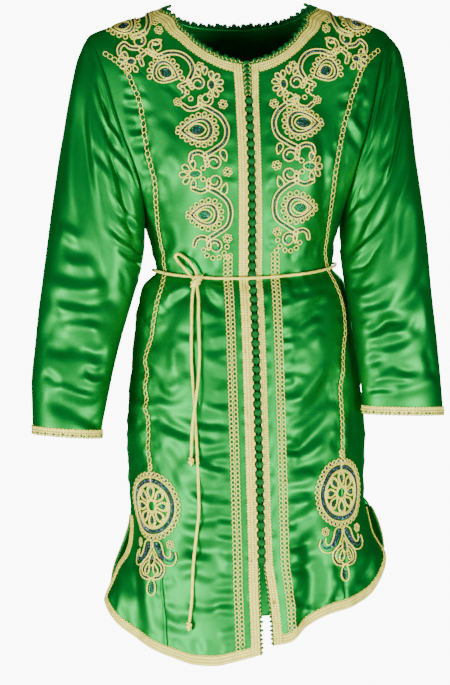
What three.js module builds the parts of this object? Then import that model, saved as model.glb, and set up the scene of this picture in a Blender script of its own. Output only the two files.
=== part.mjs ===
// A woman's knee-length satin tunic, worn and filled out, with nobody in it.
// It opens down the front between two gold braids and closes with a row of knotted buttons.
// Panels: two centre fronts, two side fronts, one back and two long sleeves. Trims: flat gold braid
// round the neck, fronts, hem, side slits and cuffs, a chain down each front seam, a double chain
// beside each front edge, and a thin cord belt tied in half a bow.
// Millimetres, +Z up, the front faces -Y. The origin lies between the shoulders, where the wearer
// holds the tunic up. "right" is the wearer's right, at -X, and "left" is at +X.
import * as THREE from "three";

// Cloth and trim thicknesses
const WALL = 1.4;
const SEAM_GAP = 0.3;
const LAY_GAP = 0.45;
const BRAID_THICK = 1.2;
const CHAIN_THICK = 1.0;

// Widths of the trims
const BRAID_WIDE = 13;
const HEM_BRAID_WIDE = 13;
const BAND_START = 22;
const BAND_WIDE = 13;
const CHAIN_HALF = 3;

// Heights that shape the cut
const SLIT_TOP = -712;
const UNDERARM = -295;
const SHOULDER_POINT = -25;
const SIDE_NECK = 17;
const WAIST = -360;
const HIP_SIDE_OF_WAIST = 22;
const TIP_ON_PRINCESS = -51;
const TIP_ON_ARMHOLE = -38;
const BAND_TOP = -335;
const CHAIN_FOOT = -648;
const WAIST_DIP = 16;
const HEM_ABOUT = -895;

// Heights on the front edge and on the middle of the back from which the rows at the armhole start
const EDGE_BREAKS = [-150, -141, -132];
const BACK_ARM_BREAK = -85;

// Buttons: knots on one cord down the front opening
const BUTTON_RADIUS = 4.5;
const BUTTON_PITCH = 12.1;
const BUTTON_TOP = -121;
const BUTTON_BOTTOM = -775;
const BUTTON_OUT = 1.5;
const BUTTON_PROFILE = [
  [0, 1.2],
  [0.2, 3.7],
  [0.5, BUTTON_RADIUS],
  [0.8, 3.7],
];

// Belt cord: its centre lies this far out from the body, over the trims
const CORD_RADIUS = 2.2;
const BELT_OUT = 5;
const BELT_OVER_BUTTONS = 8.2;
const BELT_SIDE = -358.5;
const BELT_DIP = 16;
const BELT_TILT = 2.5;
const BELT_STEP = 6.5;
const BESIDE_BUTTONS = 10;
const OVER_BUTTONS = 3.4;
const BUTTON_HUMP = 12;
const CORD_SIDES = 8;

// Knots, turned on the cord's line: distance along it and radius
const KNOT_HALF = 8.5;
const KNOT_LEAN = 0.35;
const KNOT_INSET = 2.5;
const KNOT_PROFILE = [
  [-KNOT_HALF, 3.8],
  [-5, 6.6],
  [0, 7],
  [5, 6.2],
  [KNOT_HALF, 3.4],
];
const END_KNOT_PROFILE = [
  [0.3, 2.4],
  [2.5, 4.4],
  [5.5, 4.7],
  [8.5, 4],
  [10.5, 2],
];

// The belt's free loop and its two hanging ends. Each point is the centre of the cord: its place in
// the front view, and its distance out from the body. The short end crosses over the long one.
const BELT_KNOT = { x: -78, z: -377, out: 7.7 };
const BELT_END_TURN = 3.4;
const BELT_LOOP = [
  { x: -77, z: -366.4, out: 8.4 },
  { x: -81, z: -357.5, out: 8 },
  { x: -88.5, z: -348, out: 7 },
  { x: -96, z: -341, out: 6 },
  { x: -102, z: -338.5, out: 5.5 },
  { x: -105, z: -341.5, out: 5.5 },
  { x: -101.5, z: -348.5, out: 6 },
  { x: -93.5, z: -358.5, out: 8 },
  { x: -86.6, z: -367.6, out: 8.6 },
];
const TAIL_SHORT = [
  { x: -77.6, z: -386, out: 7.8 },
  { x: -76.5, z: -402, out: 5.5 },
  { x: -77.5, z: -432, out: 4.6 },
  { x: -78, z: -480, out: 4.6 },
  { x: -80, z: -506, out: 5.6 },
  { x: -82, z: -522, out: 8 },
  { x: -86, z: -547, out: 10.6 },
  { x: -90, z: -575, out: 9.6 },
  { x: -92, z: -599, out: 6.6 },
  { x: -93.5, z: -623, out: 6.4 },
];
const TAIL_LONG = [
  { x: -82.6, z: -386, out: 7.8 },
  { x: -85, z: -402, out: 5.5 },
  { x: -87, z: -432, out: 4.6 },
  { x: -89, z: -487, out: 4.6 },
  { x: -88, z: -524, out: 4.8 },
  { x: -87, z: -547, out: 5 },
  { x: -86, z: -575, out: 5 },
  { x: -85, z: -616, out: 5.4 },
  { x: -84.5, z: -675, out: 5.4 },
  { x: -85, z: -700, out: 4.6 },
  { x: -90, z: -740, out: 4.8 },
  { x: -94.5, z: -779, out: 4.8 },
  { x: -97.5, z: -825, out: 5 },
  { x: -101.5, z: -854, out: 6 },
];
const SHORT_STEPS = 22;
const LONG_STEPS = 42;
const LOOP_STEPS = 11;
const BELT_STEPS = 84;

const RIGHT = -1;
const LEFT = 1;
const DEGREE = Math.PI / 180;

// The worn body, from the neck to the hem: half width at each side, and depth before and behind.
const BODY = [
  { z: 30, right: 50, left: 50, front: 22, back: 20 },
  { z: 17, right: 102, left: 102, front: 32, back: 30 },
  { z: 0, right: 150, left: 150, front: 46, back: 46 },
  { z: -25, right: 218, left: 218, front: 64, back: 64 },
  { z: -50, right: 227, left: 227, front: 78, back: 76 },
  { z: -75, right: 229, left: 229, front: 88, back: 84 },
  { z: -125, right: 226, left: 226, front: 98, back: 93 },
  { z: -170, right: 216, left: 216, front: 106, back: 97 },
  { z: -205, right: 201, left: 201, front: 110, back: 97 },
  { z: -238, right: 180, left: 180, front: 111, back: 95 },
  { z: -270, right: 156, left: 156, front: 108, back: 91 },
  { z: -295, right: 143, left: 143, front: 104, back: 88 },
  { z: -330, right: 133, left: 133, front: 97, back: 82 },
  { z: -360, right: 127, left: 129, front: 92, back: 77 },
  { z: -382, right: 146, left: 145, front: 102, back: 90 },
  { z: -417, right: 156, left: 153, front: 109, back: 99 },
  { z: -452, right: 161, left: 158, front: 113, back: 105 },
  { z: -487, right: 165, left: 162, front: 116, back: 110 },
  { z: -540, right: 171, left: 168, front: 119, back: 116 },
  { z: -608, right: 175, left: 172, front: 123, back: 121 },
  { z: -660, right: 174, left: 169, front: 125, back: 123 },
  { z: -712, right: 172, left: 168, front: 127, back: 125 },
  { z: -800, right: 172, left: 168, front: 130, back: 129 },
  { z: -930, right: 172, left: 168, front: 134, back: 134 },
];

// How far the slit corners flare out beyond the body, for the front and the back of each side.
const FLARE = [
  { z: -700, rightFront: 0, rightBack: 0, leftFront: 0, leftBack: 4 },
  { z: -722, rightFront: 0, rightBack: 2, leftFront: 5, leftBack: 17 },
  { z: -748, rightFront: 3, rightBack: 10, leftFront: 11, leftBack: 27 },
  { z: -765, rightFront: 9, rightBack: 17, leftFront: 20, leftBack: 31 },
  { z: -782, rightFront: 20, rightBack: 24, leftFront: 31, leftBack: 33 },
  { z: -800, rightFront: 28, rightBack: 29, leftFront: 35, leftBack: 34 },
  { z: -836, rightFront: 43, rightBack: 34, leftFront: 38, leftBack: 36 },
  { z: -930, rightFront: 50, rightBack: 36, leftFront: 40, leftBack: 38 },
];

// The neckline from the front opening to the side neck, and from there to the middle of the back.
const NECK_FRONT = [
  { x: 5, z: -74 },
  { x: 29, z: -69 },
  { x: 52, z: -58 },
  { x: 71, z: -43 },
  { x: 87, z: -25 },
  { x: 97, z: -5 },
  { x: 102, z: 17 },
];
const NECK_BACK = [
  { x: 102, z: 17 },
  { x: 99, z: 8 },
  { x: 84, z: 0 },
  { x: 58, z: -6 },
  { x: 28, z: -9 },
  { x: 0, z: -10 },
];

// The armhole seam as an angle round the body, 0 at the middle of the front and 180 at the back.
const ARMHOLE_FRONT = [
  { angle: 90, z: -25 },
  { angle: 77, z: -33 },
  { angle: 68, z: -45 },
  { angle: 61, z: -74 },
  { angle: 56, z: -125 },
  { angle: 54, z: -170 },
  { angle: 54, z: -205 },
  { angle: 58, z: -238 },
  { angle: 68, z: -270 },
  { angle: 79, z: -288 },
  { angle: 90, z: -295 },
];
const ARMHOLE_BACK = [
  { angle: 90, z: -295 },
  { angle: 100, z: -287 },
  { angle: 110, z: -267 },
  { angle: 118, z: -235 },
  { angle: 121, z: -195 },
  { angle: 120, z: -145 },
  { angle: 116, z: -95 },
  { angle: 110, z: -58 },
  { angle: 101, z: -36 },
  { angle: 90, z: -25 },
];

// The curved seam from the armhole over the bust to the hem, by its distance from the middle.
const PRINCESS = [
  { z: -45, right: 208, left: 208 },
  { z: -52, right: 196, left: 197 },
  { z: -63, right: 182, left: 183 },
  { z: -76, right: 169, left: 171 },
  { z: -100, right: 159, left: 160 },
  { z: -125, right: 151, left: 150 },
  { z: -162, right: 147, left: 137 },
  { z: -200, right: 142, left: 127 },
  { z: -236, right: 133, left: 120 },
  { z: -260, right: 130, left: 119 },
  { z: -296, right: 128, left: 119 },
  { z: -325, right: 124, left: 116 },
  { z: -345, right: 119, left: 114 },
  { z: -362, right: 117, left: 116 },
  { z: -382, right: 124, left: 126 },
  { z: -402, right: 130, left: 133 },
  { z: -438, right: 139, left: 137 },
  { z: -487, right: 148, left: 133 },
  { z: -542, right: 151, left: 127 },
  { z: -600, right: 150, left: 125 },
  { z: -660, right: 145, left: 123 },
  { z: -730, right: 141, left: 122 },
  { z: -800, right: 137, left: 121 },
  { z: -930, right: 130, left: 120 },
];

// Height of the hem round each side, from the middle of the front to the slit corner.
const HEM_FRONT = [
  { angle: 0, right: -900, left: -890 },
  { angle: 12, right: -909, left: -887 },
  { angle: 24, right: -916, left: -866 },
  { angle: 34, right: -915, left: -853 },
  { angle: 45, right: -906, left: -847 },
  { angle: 56, right: -889, left: -836 },
  { angle: 68, right: -864, left: -806 },
  { angle: 78, right: -844, left: -783 },
  { angle: 85, right: -833, left: -774 },
];
const HEM_BACK = [
  { angle: 95, right: -815, left: -776 },
  { angle: 108, right: -834, left: -800 },
  { angle: 125, right: -862, left: -838 },
  { angle: 145, right: -882, left: -872 },
  { angle: 163, right: -889, left: -887 },
  { angle: 180, right: -890, left: -890 },
];
const SLIT_CORNER_FRONT = 85;
const SLIT_CORNER_BACK = 95;

// How far each front edge stands from the middle: open at the neck and below the last button.
const FRONT_EDGE = [
  { z: -60, right: 7, left: 6 },
  { z: -90, right: 6, left: 5.5 },
  { z: -118, right: 5, left: 5 },
  { z: -770, right: 5, left: 5 },
  { z: -800, right: 5.5, left: 8 },
  { z: -840, right: 5, left: 12 },
  { z: -900, right: 4.5, left: 15 },
];

// Large soft folds seen from the front: a line from one end to the other, its width and its depth.
// A ridge is positive and a trough is negative.
const FRONT_FOLDS = [
  { x0: -160, z0: -120, x1: -138, z1: -250, wide: 14, deep: -5 },
  { x0: -120, z0: -330, x1: -70, z1: -215, wide: 18, deep: -4 },
  { x0: -95, z0: -385, x1: -140, z1: -470, wide: 16, deep: -5 },
  { x0: -70, z0: -385, x1: -48, z1: -430, wide: 12, deep: -4 },
  { x0: -60, z0: -580, x1: -150, z1: -565, wide: 20, deep: -6 },
  { x0: -60, z0: -640, x1: -112, z1: -655, wide: 18, deep: 4 },
  { x0: -55, z0: -770, x1: -110, z1: -745, wide: 15, deep: -4 },
  { x0: -180, z0: -700, x1: -176, z1: -900, wide: 16, deep: -9 },
  { x0: 125, z0: -380, x1: 60, z1: -470, wide: 17, deep: -5 },
  { x0: 120, z0: -520, x1: 55, z1: -640, wide: 20, deep: -7 },
  { x0: 45, z0: -700, x1: 100, z1: -655, wide: 16, deep: 4 },
  { x0: 74, z0: -740, x1: 66, z1: -900, wide: 15, deep: -9 },
  { x0: 120, z0: -750, x1: 128, z1: -880, wide: 18, deep: 5 },
  { x0: 92, z0: -150, x1: 70, z1: -330, wide: 20, deep: 4 },
  { x0: 106, z0: -215, x1: 112, z1: -350, wide: 12, deep: -4 },
];
const BACK_FOLDS = [
  { x0: -110, z0: -350, x1: -60, z1: -230, wide: 18, deep: -4 },
  { x0: 105, z0: -350, x1: 50, z1: -245, wide: 16, deep: -4 },
  { x0: -60, z0: -375, x1: -95, z1: -520, wide: 18, deep: -5 },
  { x0: 40, z0: -375, x1: 70, z1: -490, wide: 16, deep: -5 },
  { x0: -30, z0: -640, x1: -40, z1: -900, wide: 22, deep: -6 },
  { x0: 70, z0: -600, x1: 85, z1: -900, wide: 24, deep: -7 },
  { x0: -120, z0: -700, x1: -130, z1: -900, wide: 18, deep: 5 },
];

// The bust is shaped by the curved seams: two soft swells.
const BUST = { x: 74, z: -212, wideX: 44, wideZ: 58, deep: 11 };

// Each sleeve, from the armhole to the cuff: its outer and inner line, its depth and its middle.
const SLEEVE_RIGHT = [
  { outX: 218, outZ: -25, inX: 143, inZ: -295, depth: 68, mid: 0 },
  { outX: 232, outZ: -54, inX: 142.5, inZ: -305, depth: 69, mid: -2 },
  { outX: 248, outZ: -119, inX: 143, inZ: -322, depth: 70, mid: -5 },
  { outX: 261, outZ: -188, inX: 148, inZ: -352, depth: 67, mid: -9 },
  { outX: 274, outZ: -258, inX: 157, inZ: -382, depth: 62, mid: -15 },
  { outX: 285, outZ: -327, inX: 168, inZ: -415, depth: 57, mid: -22 },
  { outX: 296, outZ: -397, inX: 180, inZ: -450, depth: 52, mid: -32 },
  { outX: 305, outZ: -466, inX: 192, inZ: -490, depth: 47, mid: -42 },
  { outX: 312, outZ: -522, inX: 203, inZ: -534, depth: 42, mid: -50 },
  { outX: 312, outZ: -574, inX: 214, inZ: -583, depth: 38, mid: -57 },
  { outX: 312, outZ: -587, inX: 215, inZ: -596, depth: 37, mid: -58 },
];
const SLEEVE_LEFT = [
  { outX: 218, outZ: -25, inX: 143, inZ: -295, depth: 68, mid: 0 },
  { outX: 236, outZ: -52, inX: 142, inZ: -304, depth: 69, mid: -3 },
  { outX: 246, outZ: -125, inX: 141, inZ: -319, depth: 70, mid: -9 },
  { outX: 250, outZ: -195, inX: 139.5, inZ: -345, depth: 67, mid: -20 },
  { outX: 256, outZ: -262, inX: 140, inZ: -372, depth: 62, mid: -33 },
  { outX: 261, outZ: -330, inX: 143, inZ: -404, depth: 56, mid: -45 },
  { outX: 264, outZ: -398, inX: 148, inZ: -445, depth: 50, mid: -54 },
  { outX: 269, outZ: -465, inX: 153, inZ: -490, depth: 45, mid: -60 },
  { outX: 273, outZ: -525, inX: 157, inZ: -530, depth: 39, mid: -65 },
  { outX: 275, outZ: -564, inX: 159, inZ: -559, depth: 35, mid: -67 },
  { outX: 275, outZ: -577, inX: 159, inZ: -572, depth: 34, mid: -68 },
];

// Sleeve folds: turn is 0 at the outside, 90 at the front and 180 at the inside; along is a row above.
const SLEEVE_FOLDS = {
  [RIGHT]: [
    { turn0: 20, along0: 0.2, turn1: 100, along1: 3.0, wide: 13, deep: -5 },
    { turn0: 55, along0: 0.3, turn1: 140, along1: 2.8, wide: 12, deep: -6 },
    { turn0: 40, along0: 2.0, turn1: 125, along1: 5.2, wide: 18, deep: -7 },
    { turn0: 20, along0: 5.6, turn1: 120, along1: 6.3, wide: 18, deep: 5 },
    { turn0: 30, along0: 6.6, turn1: 130, along1: 6.9, wide: 16, deep: -5 },
    { turn0: 60, along0: 8.2, turn1: 150, along1: 8.8, wide: 13, deep: -6 },
    { turn0: 200, along0: 2.2, turn1: 320, along1: 4.6, wide: 18, deep: -6 },
    { turn0: 215, along0: 5.2, turn1: 330, along1: 6.2, wide: 18, deep: -5 },
  ],
  [LEFT]: [
    { turn0: 30, along0: 0.2, turn1: 110, along1: 2.6, wide: 12, deep: -6 },
    { turn0: 60, along0: 0.3, turn1: 145, along1: 3.2, wide: 13, deep: -5 },
    { turn0: 40, along0: 1.6, turn1: 140, along1: 4.6, wide: 18, deep: -6 },
    { turn0: 35, along0: 5.6, turn1: 120, along1: 6.4, wide: 16, deep: -7 },
    { turn0: 60, along0: 6.6, turn1: 140, along1: 7.2, wide: 14, deep: -6 },
    { turn0: 40, along0: 8.0, turn1: 110, along1: 8.3, wide: 16, deep: 4 },
    { turn0: 200, along0: 2.4, turn1: 320, along1: 4.2, wide: 18, deep: -6 },
    { turn0: 215, along0: 5.6, turn1: 325, along1: 6.6, wide: 18, deep: -5 },
  ],
};

// Rows of each panel between its break heights, and columns across it.
const LOWER_ROWS = [1, 5, 9, 1];
const CENTRE_UPPER_ROWS = [8, 1, 1, 3, 1];
const SIDE_UPPER_ROWS = [2, 6];
const BACK_UPPER_ROWS = [2, 7, 3, 1];
const CENTRE_SPREAD = 5;
const SIDE_SPREAD = 4;
const BACK_SPREAD = 6;
const SLEEVE_START = 0.06;
const SLEEVE_STATIONS = [0, 0.3, 0.7, 1.2, 1.8, 2.4, 3, 3.6, 4.2, 4.8, 5.4, 6, 6.6, 7.2, 7.8, 8.4, 9, 10];

const COLOUR = {
  satin: { color: 0x24963a, roughness: 0.36, metalness: 0 },
  gold: { color: 0xd8c583, roughness: 0.45, metalness: 0.35 },
  button: { color: 0x0b6b2c, roughness: 0.7, metalness: 0 },
};

const vector = (x, y, z) => new THREE.Vector3(x, y, z);
const mix = (a, b, t) => a + (b - a) * t;
const clamp = (t) => Math.min(1, Math.max(0, t));
const ease = (t) => clamp(t) * clamp(t) * (3 - 2 * clamp(t));
const sideName = (side) => (side === RIGHT ? "right" : "left");

// Smooth value of one column of a table, between rows sorted by their key, without overshoot.
function lookUp(table, key, column, at) {
  const rising = table[1][key] > table[0][key];
  const rows = rising ? table : [...table].reverse();
  const xs = rows.map((row) => row[key]);
  const ys = rows.map((row) => row[column]);
  const last = xs.length - 1;
  if (at <= xs[0]) return ys[0];
  if (at >= xs[last]) return ys[last];
  const slope = (i) => (ys[i + 1] - ys[i]) / (xs[i + 1] - xs[i]);
  const tangent = (i) => {
    if (i === 0) return slope(0);
    if (i === last) return slope(last - 1);
    const before = slope(i - 1);
    const after = slope(i);
    return before * after <= 0 ? 0 : (2 * before * after) / (before + after);
  };
  const i = xs.findIndex((x, n) => n < last && at <= xs[n + 1]);
  const step = xs[i + 1] - xs[i];
  const t = (at - xs[i]) / step;
  return (
    (1 + 2 * t) * (1 - t) ** 2 * ys[i] +
    t * (1 - t) ** 2 * step * tangent(i) +
    t * t * (3 - 2 * t) * ys[i + 1] +
    t * t * (t - 1) * step * tangent(i + 1)
  );
}

// The waist dips at the front, under the belt: heights near it are moved before they are looked up.
function heightInTable(angle, z) {
  const forward = Math.max(0, Math.cos(angle * DEGREE)) ** 2;
  return z + WAIST_DIP * forward * Math.exp(-(((z - WAIST) / 120) ** 2));
}

function halfWidth(side, angle, z) {
  const face = angle <= 90 ? "Front" : "Back";
  const atSide = ease((Math.sin(angle * DEGREE) - 0.62) / 0.38);
  const flare = z > -700 ? 0 : lookUp(FLARE, "z", sideName(side) + face, z);
  return lookUp(BODY, "z", sideName(side), heightInTable(angle, z)) + flare * atSide;
}

// How high a fold stands at a point of the view that it was drawn in.
function foldHeight(fold, x, z) {
  const alongX = fold.x1 - fold.x0;
  const alongZ = fold.z1 - fold.z0;
  const length = Math.hypot(alongX, alongZ);
  const share = ((x - fold.x0) * alongX + (z - fold.z0) * alongZ) / length ** 2;
  const across = ((x - fold.x0) * alongZ - (z - fold.z0) * alongX) / length;
  const ends = ease(share / 0.3 + 0.5) * ease((1 - share) / 0.3 + 0.5);
  return fold.deep * ends * Math.exp(-((across / fold.wide) ** 2));
}

function relief(side, angle, x, z) {
  const facing = Math.abs(Math.cos(angle * DEGREE));
  const folds = angle <= 90 ? FRONT_FOLDS : BACK_FOLDS;
  const fromFolds = folds.reduce((sum, fold) => sum + foldHeight(fold, x, z), 0);
  const nearOpening = angle <= 90 ? ease((Math.abs(x) - 16) / 30) : 1;
  const bust =
    angle <= 90
      ? BUST.deep *
        Math.exp(-(((Math.abs(x) - BUST.x) / BUST.wideX) ** 2) - ((z - BUST.z) / BUST.wideZ) ** 2)
      : 0;
  return fromFolds * nearOpening * ease(facing / 0.3) + bust * ease(facing / 0.4);
}

function smoothBody(side, angle, z) {
  const across = Math.sin(angle * DEGREE);
  const forward = Math.cos(angle * DEGREE);
  const depth = lookUp(BODY, "z", angle <= 90 ? "front" : "back", heightInTable(angle, z));
  return vector(side * halfWidth(side, angle, z) * across, -depth * forward, z);
}

function bodyNormal(side, angle, z) {
  const turn = smoothBody(side, angle + 0.5, z).sub(smoothBody(side, angle - 0.5, z));
  const rise = smoothBody(side, angle, z + 1).sub(smoothBody(side, angle, z - 1));
  return turn.cross(rise).multiplyScalar(side).normalize();
}

// A point on the worn body, moved out by the folds and by a clearance.
function bodyPoint(side, angle, z, out = 0) {
  const point = smoothBody(side, angle, z);
  const height = relief(side, angle, point.x, z) + out;
  return point.addScaledVector(bodyNormal(side, angle, z), height);
}

// The angle round the body at which a seam lies, from its distance from the middle of the front.
function angleAt(side, x, z, behind = false) {
  let angle = behind ? 120 : 45;
  for (let turn = 0; turn < 12; turn += 1) {
    const share = Math.min(1, x / halfWidth(side, angle, z));
    angle = Math.asin(share) / DEGREE;
    if (behind) angle = 180 - angle;
  }
  return angle;
}

// A curve drawn on the body by angle and height, walked by its real length.
function seamCurve(side, points) {
  const spline = new THREE.CatmullRomCurve3(
    points.map((p) => vector(p.angle * 2, p.z, 0)),
    false,
    "centripetal",
  );
  const steps = 120;
  const spots = Array.from({ length: steps + 1 }, (_, i) => {
    const p = spline.getPoint(i / steps);
    return { angle: p.x / 2, z: p.y };
  });
  return walkable(side, spots);
}

function walkable(side, spots) {
  const places = spots.map((s) => bodyPoint(side, s.angle, s.z));
  const lengths = [0];
  for (let i = 1; i < places.length; i += 1) {
    lengths.push(lengths[i - 1] + places[i].distanceTo(places[i - 1]));
  }
  const total = lengths[lengths.length - 1];
  const at = (distance) => {
    const wanted = Math.min(total, Math.max(0, distance));
    let i = 1;
    while (i < lengths.length - 1 && lengths[i] < wanted) i += 1;
    const t = (wanted - lengths[i - 1]) / Math.max(1e-9, lengths[i] - lengths[i - 1]);
    return {
      angle: mix(spots[i - 1].angle, spots[i].angle, t),
      z: mix(spots[i - 1].z, spots[i].z, t),
    };
  };
  const whereHeight = (z) => {
    let i = 1;
    while (i < spots.length - 1 && (spots[i].z - z) * (spots[i - 1].z - z) > 0) i += 1;
    const t = (z - spots[i - 1].z) / (spots[i].z - spots[i - 1].z);
    return mix(lengths[i - 1], lengths[i], t);
  };
  return { total, at, whereHeight };
}

// Points along a curve at its breaks, with a number of rows between one break and the next.
function rowsAlong(curve, breaks, counts) {
  const spots = [];
  counts.forEach((count, n) => {
    for (let i = 0; i < count; i += 1) spots.push(curve.at(mix(breaks[n], breaks[n + 1], i / count)));
  });
  spots.push(curve.at(breaks[counts.length]));
  return spots;
}

const heights = (from, to, step) => {
  const count = Math.max(1, Math.round(Math.abs(to - from) / step));
  return Array.from({ length: count + 1 }, (_, i) => mix(from, to, i / count));
};

// The spot of the body level with a point in space.
function spotNear(side, point, behind) {
  let angle = behind ? 135 : 45;
  for (let turn = 0; turn < 5; turn += 1) {
    const depth = lookUp(BODY, "z", behind ? "back" : "front", heightInTable(angle, point.z));
    const across = Math.max(0, side * point.x) / halfWidth(side, angle, point.z);
    const forward = -point.y / depth;
    angle = Math.atan2(across, forward) / DEGREE;
    angle = behind ? Math.max(90, angle) : Math.min(90, angle);
  }
  return { angle, z: point.z };
}

// A panel of four edges. Each row runs from its start to its end, and bends like the hem near the
// bottom and like the neckline near the top. placeColumns gives the distances of its points.
function patch(side, behind, starts, ends, bottom, top, placeColumns) {
  const last = starts.length - 1;
  const place = (s) => smoothBody(side, s.angle, s.z);
  const rise = (list, i) => (list[i].z - list[0].z) / (list[last].z - list[0].z);
  const bend = (curve, from, to, u) =>
    place(curve.at(curve.total * u)).sub(place(from).lerp(place(to), u));
  const samples = 40;
  return starts.map((start, i) => {
    const end = ends[i];
    const v = clamp(i === 0 || i === last ? i / last : rise(starts, i));
    const row = Array.from({ length: samples + 1 }, (_, n) => {
      const u = n / samples;
      if (n === 0) return start;
      if (n === samples) return end;
      const point = place(start).lerp(place(end), u);
      point.addScaledVector(bend(bottom, starts[0], ends[0], u), (1 - v) ** 3);
      point.addScaledVector(bend(top, starts[last], ends[last], u), v ** 3);
      return spotNear(side, point, behind);
    });
    const walk = walkable(side, row);
    return placeColumns(walk.total, i, last).map((distance) => walk.at(distance));
  });
}

// A closed solid between two grids of points, over the cells that keep(row, column) chooses.
function slab(outer, inner, keep = () => true, wraps = false) {
  const width = outer[0].length;
  const rows = outer.length - 1;
  const columns = wraps ? width : width - 1;
  const behind = outer.length * width;
  const id = (r, c) => r * width + (c % width);
  const kept = (r, c) => {
    const column = wraps ? (c + columns) % columns : c;
    return r >= 0 && r < rows && column >= 0 && column < columns && keep(r, column);
  };
  const faces = [];
  const wall = (from, to) => faces.push([to, from, from + behind], [to, from + behind, to + behind]);
  for (let r = 0; r < rows; r += 1) {
    for (let c = 0; c < columns; c += 1) {
      if (!kept(r, c)) continue;
      const [a, b, e, d] = [id(r, c), id(r, c + 1), id(r + 1, c + 1), id(r + 1, c)];
      faces.push([a, b, e], [a, e, d]);
      faces.push([a + behind, e + behind, b + behind], [a + behind, d + behind, e + behind]);
      if (!kept(r - 1, c)) wall(a, b);
      if (!kept(r, c + 1)) wall(b, e);
      if (!kept(r + 1, c)) wall(e, d);
      if (!kept(r, c - 1)) wall(d, a);
    }
  }
  return closedGeometry([...outer.flat(), ...inner.flat()], faces);
}

// Keeps the points in use and turns the faces outward.
function closedGeometry(points, faces) {
  const used = [...new Set(faces.flat())];
  const renumber = new Map(used.map((point, n) => [point, n]));
  const volume = faces.reduce(
    (sum, [a, b, c]) => sum + points[a].dot(points[b].clone().cross(points[c])),
    0,
  );
  const index = faces
    .flatMap(([a, b, c]) => (volume < 0 ? [a, c, b] : [a, b, c]))
    .map((point) => renumber.get(point));
  const geometry = new THREE.BufferGeometry();
  const coordinates = used.flatMap((n) => [points[n].x, points[n].y, points[n].z]);
  geometry.setAttribute("position", new THREE.Float32BufferAttribute(coordinates, 3));
  geometry.setIndex(index);
  return geometry;
}

const tunic = new THREE.Group();

function addPiece(name, geometry, look) {
  const mesh = new THREE.Mesh(geometry, new THREE.MeshStandardMaterial(COLOUR[look]));
  mesh.name = name;
  tunic.add(mesh);
}

const placed = (s, out) => bodyPoint(s.side, s.angle, s.z, out);
const gridOn = (spots, out) => spots.map((row) => row.map((s) => placed(s, out)));
const cloth = (spots) => slab(gridOn(spots, 0), gridOn(spots, -WALL));
const trim = (spots, thick, keep) =>
  slab(gridOn(spots, LAY_GAP + thick), gridOn(spots, LAY_GAP), keep);

// A spot moved towards the next one by a distance.
function stepTo(spot, next, distance) {
  const span = placed(spot, 0).distanceTo(placed(next, 0));
  const share = distance / span;
  return { side: spot.side, angle: mix(spot.angle, next.angle, share), z: mix(spot.z, next.z, share) };
}

function openStart(spots) {
  return spots.map((row) => [stepTo(row[0], row[1], SEAM_GAP / 2), ...row.slice(1)]);
}

function openEnd(spots) {
  return openStart(spots.map((row) => [...row].reverse())).map((row) => row.reverse());
}

function openTop(spots) {
  const top = spots.length - 1;
  return spots.map((row, r) =>
    r < top ? row : row.map((s, c) => stepTo(s, spots[top - 1][c], SEAM_GAP / 2)));
}

// The seam line over the shoulder, from the shoulder point to the side neck
const shoulderLine = (side) =>
  walkable(side, heights(SHOULDER_POINT, SIDE_NECK, 3).map((z) => ({ angle: 90, z })));

const run = (curve, from, to, step) => heights(from, to, step).map((d) => curve.at(d));

// The slit edge leans away from the side seam line down to the hem corner.
function sideLine(side, hemCorner, cornerAngle) {
  const angleOf = (z) =>
    z > SLIT_TOP ? 90 : mix(90, cornerAngle, (z - SLIT_TOP) / (hemCorner - SLIT_TOP));
  return heights(hemCorner, UNDERARM, 6).map((z) => ({ angle: angleOf(z), z }));
}

const lowerBreaks = (curve, dip) => [
  0,
  HEM_BRAID_WIDE,
  curve.whereHeight(SLIT_TOP),
  curve.whereHeight(WAIST - HIP_SIDE_OF_WAIST - dip),
  curve.whereHeight(WAIST - dip),
];

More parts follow.
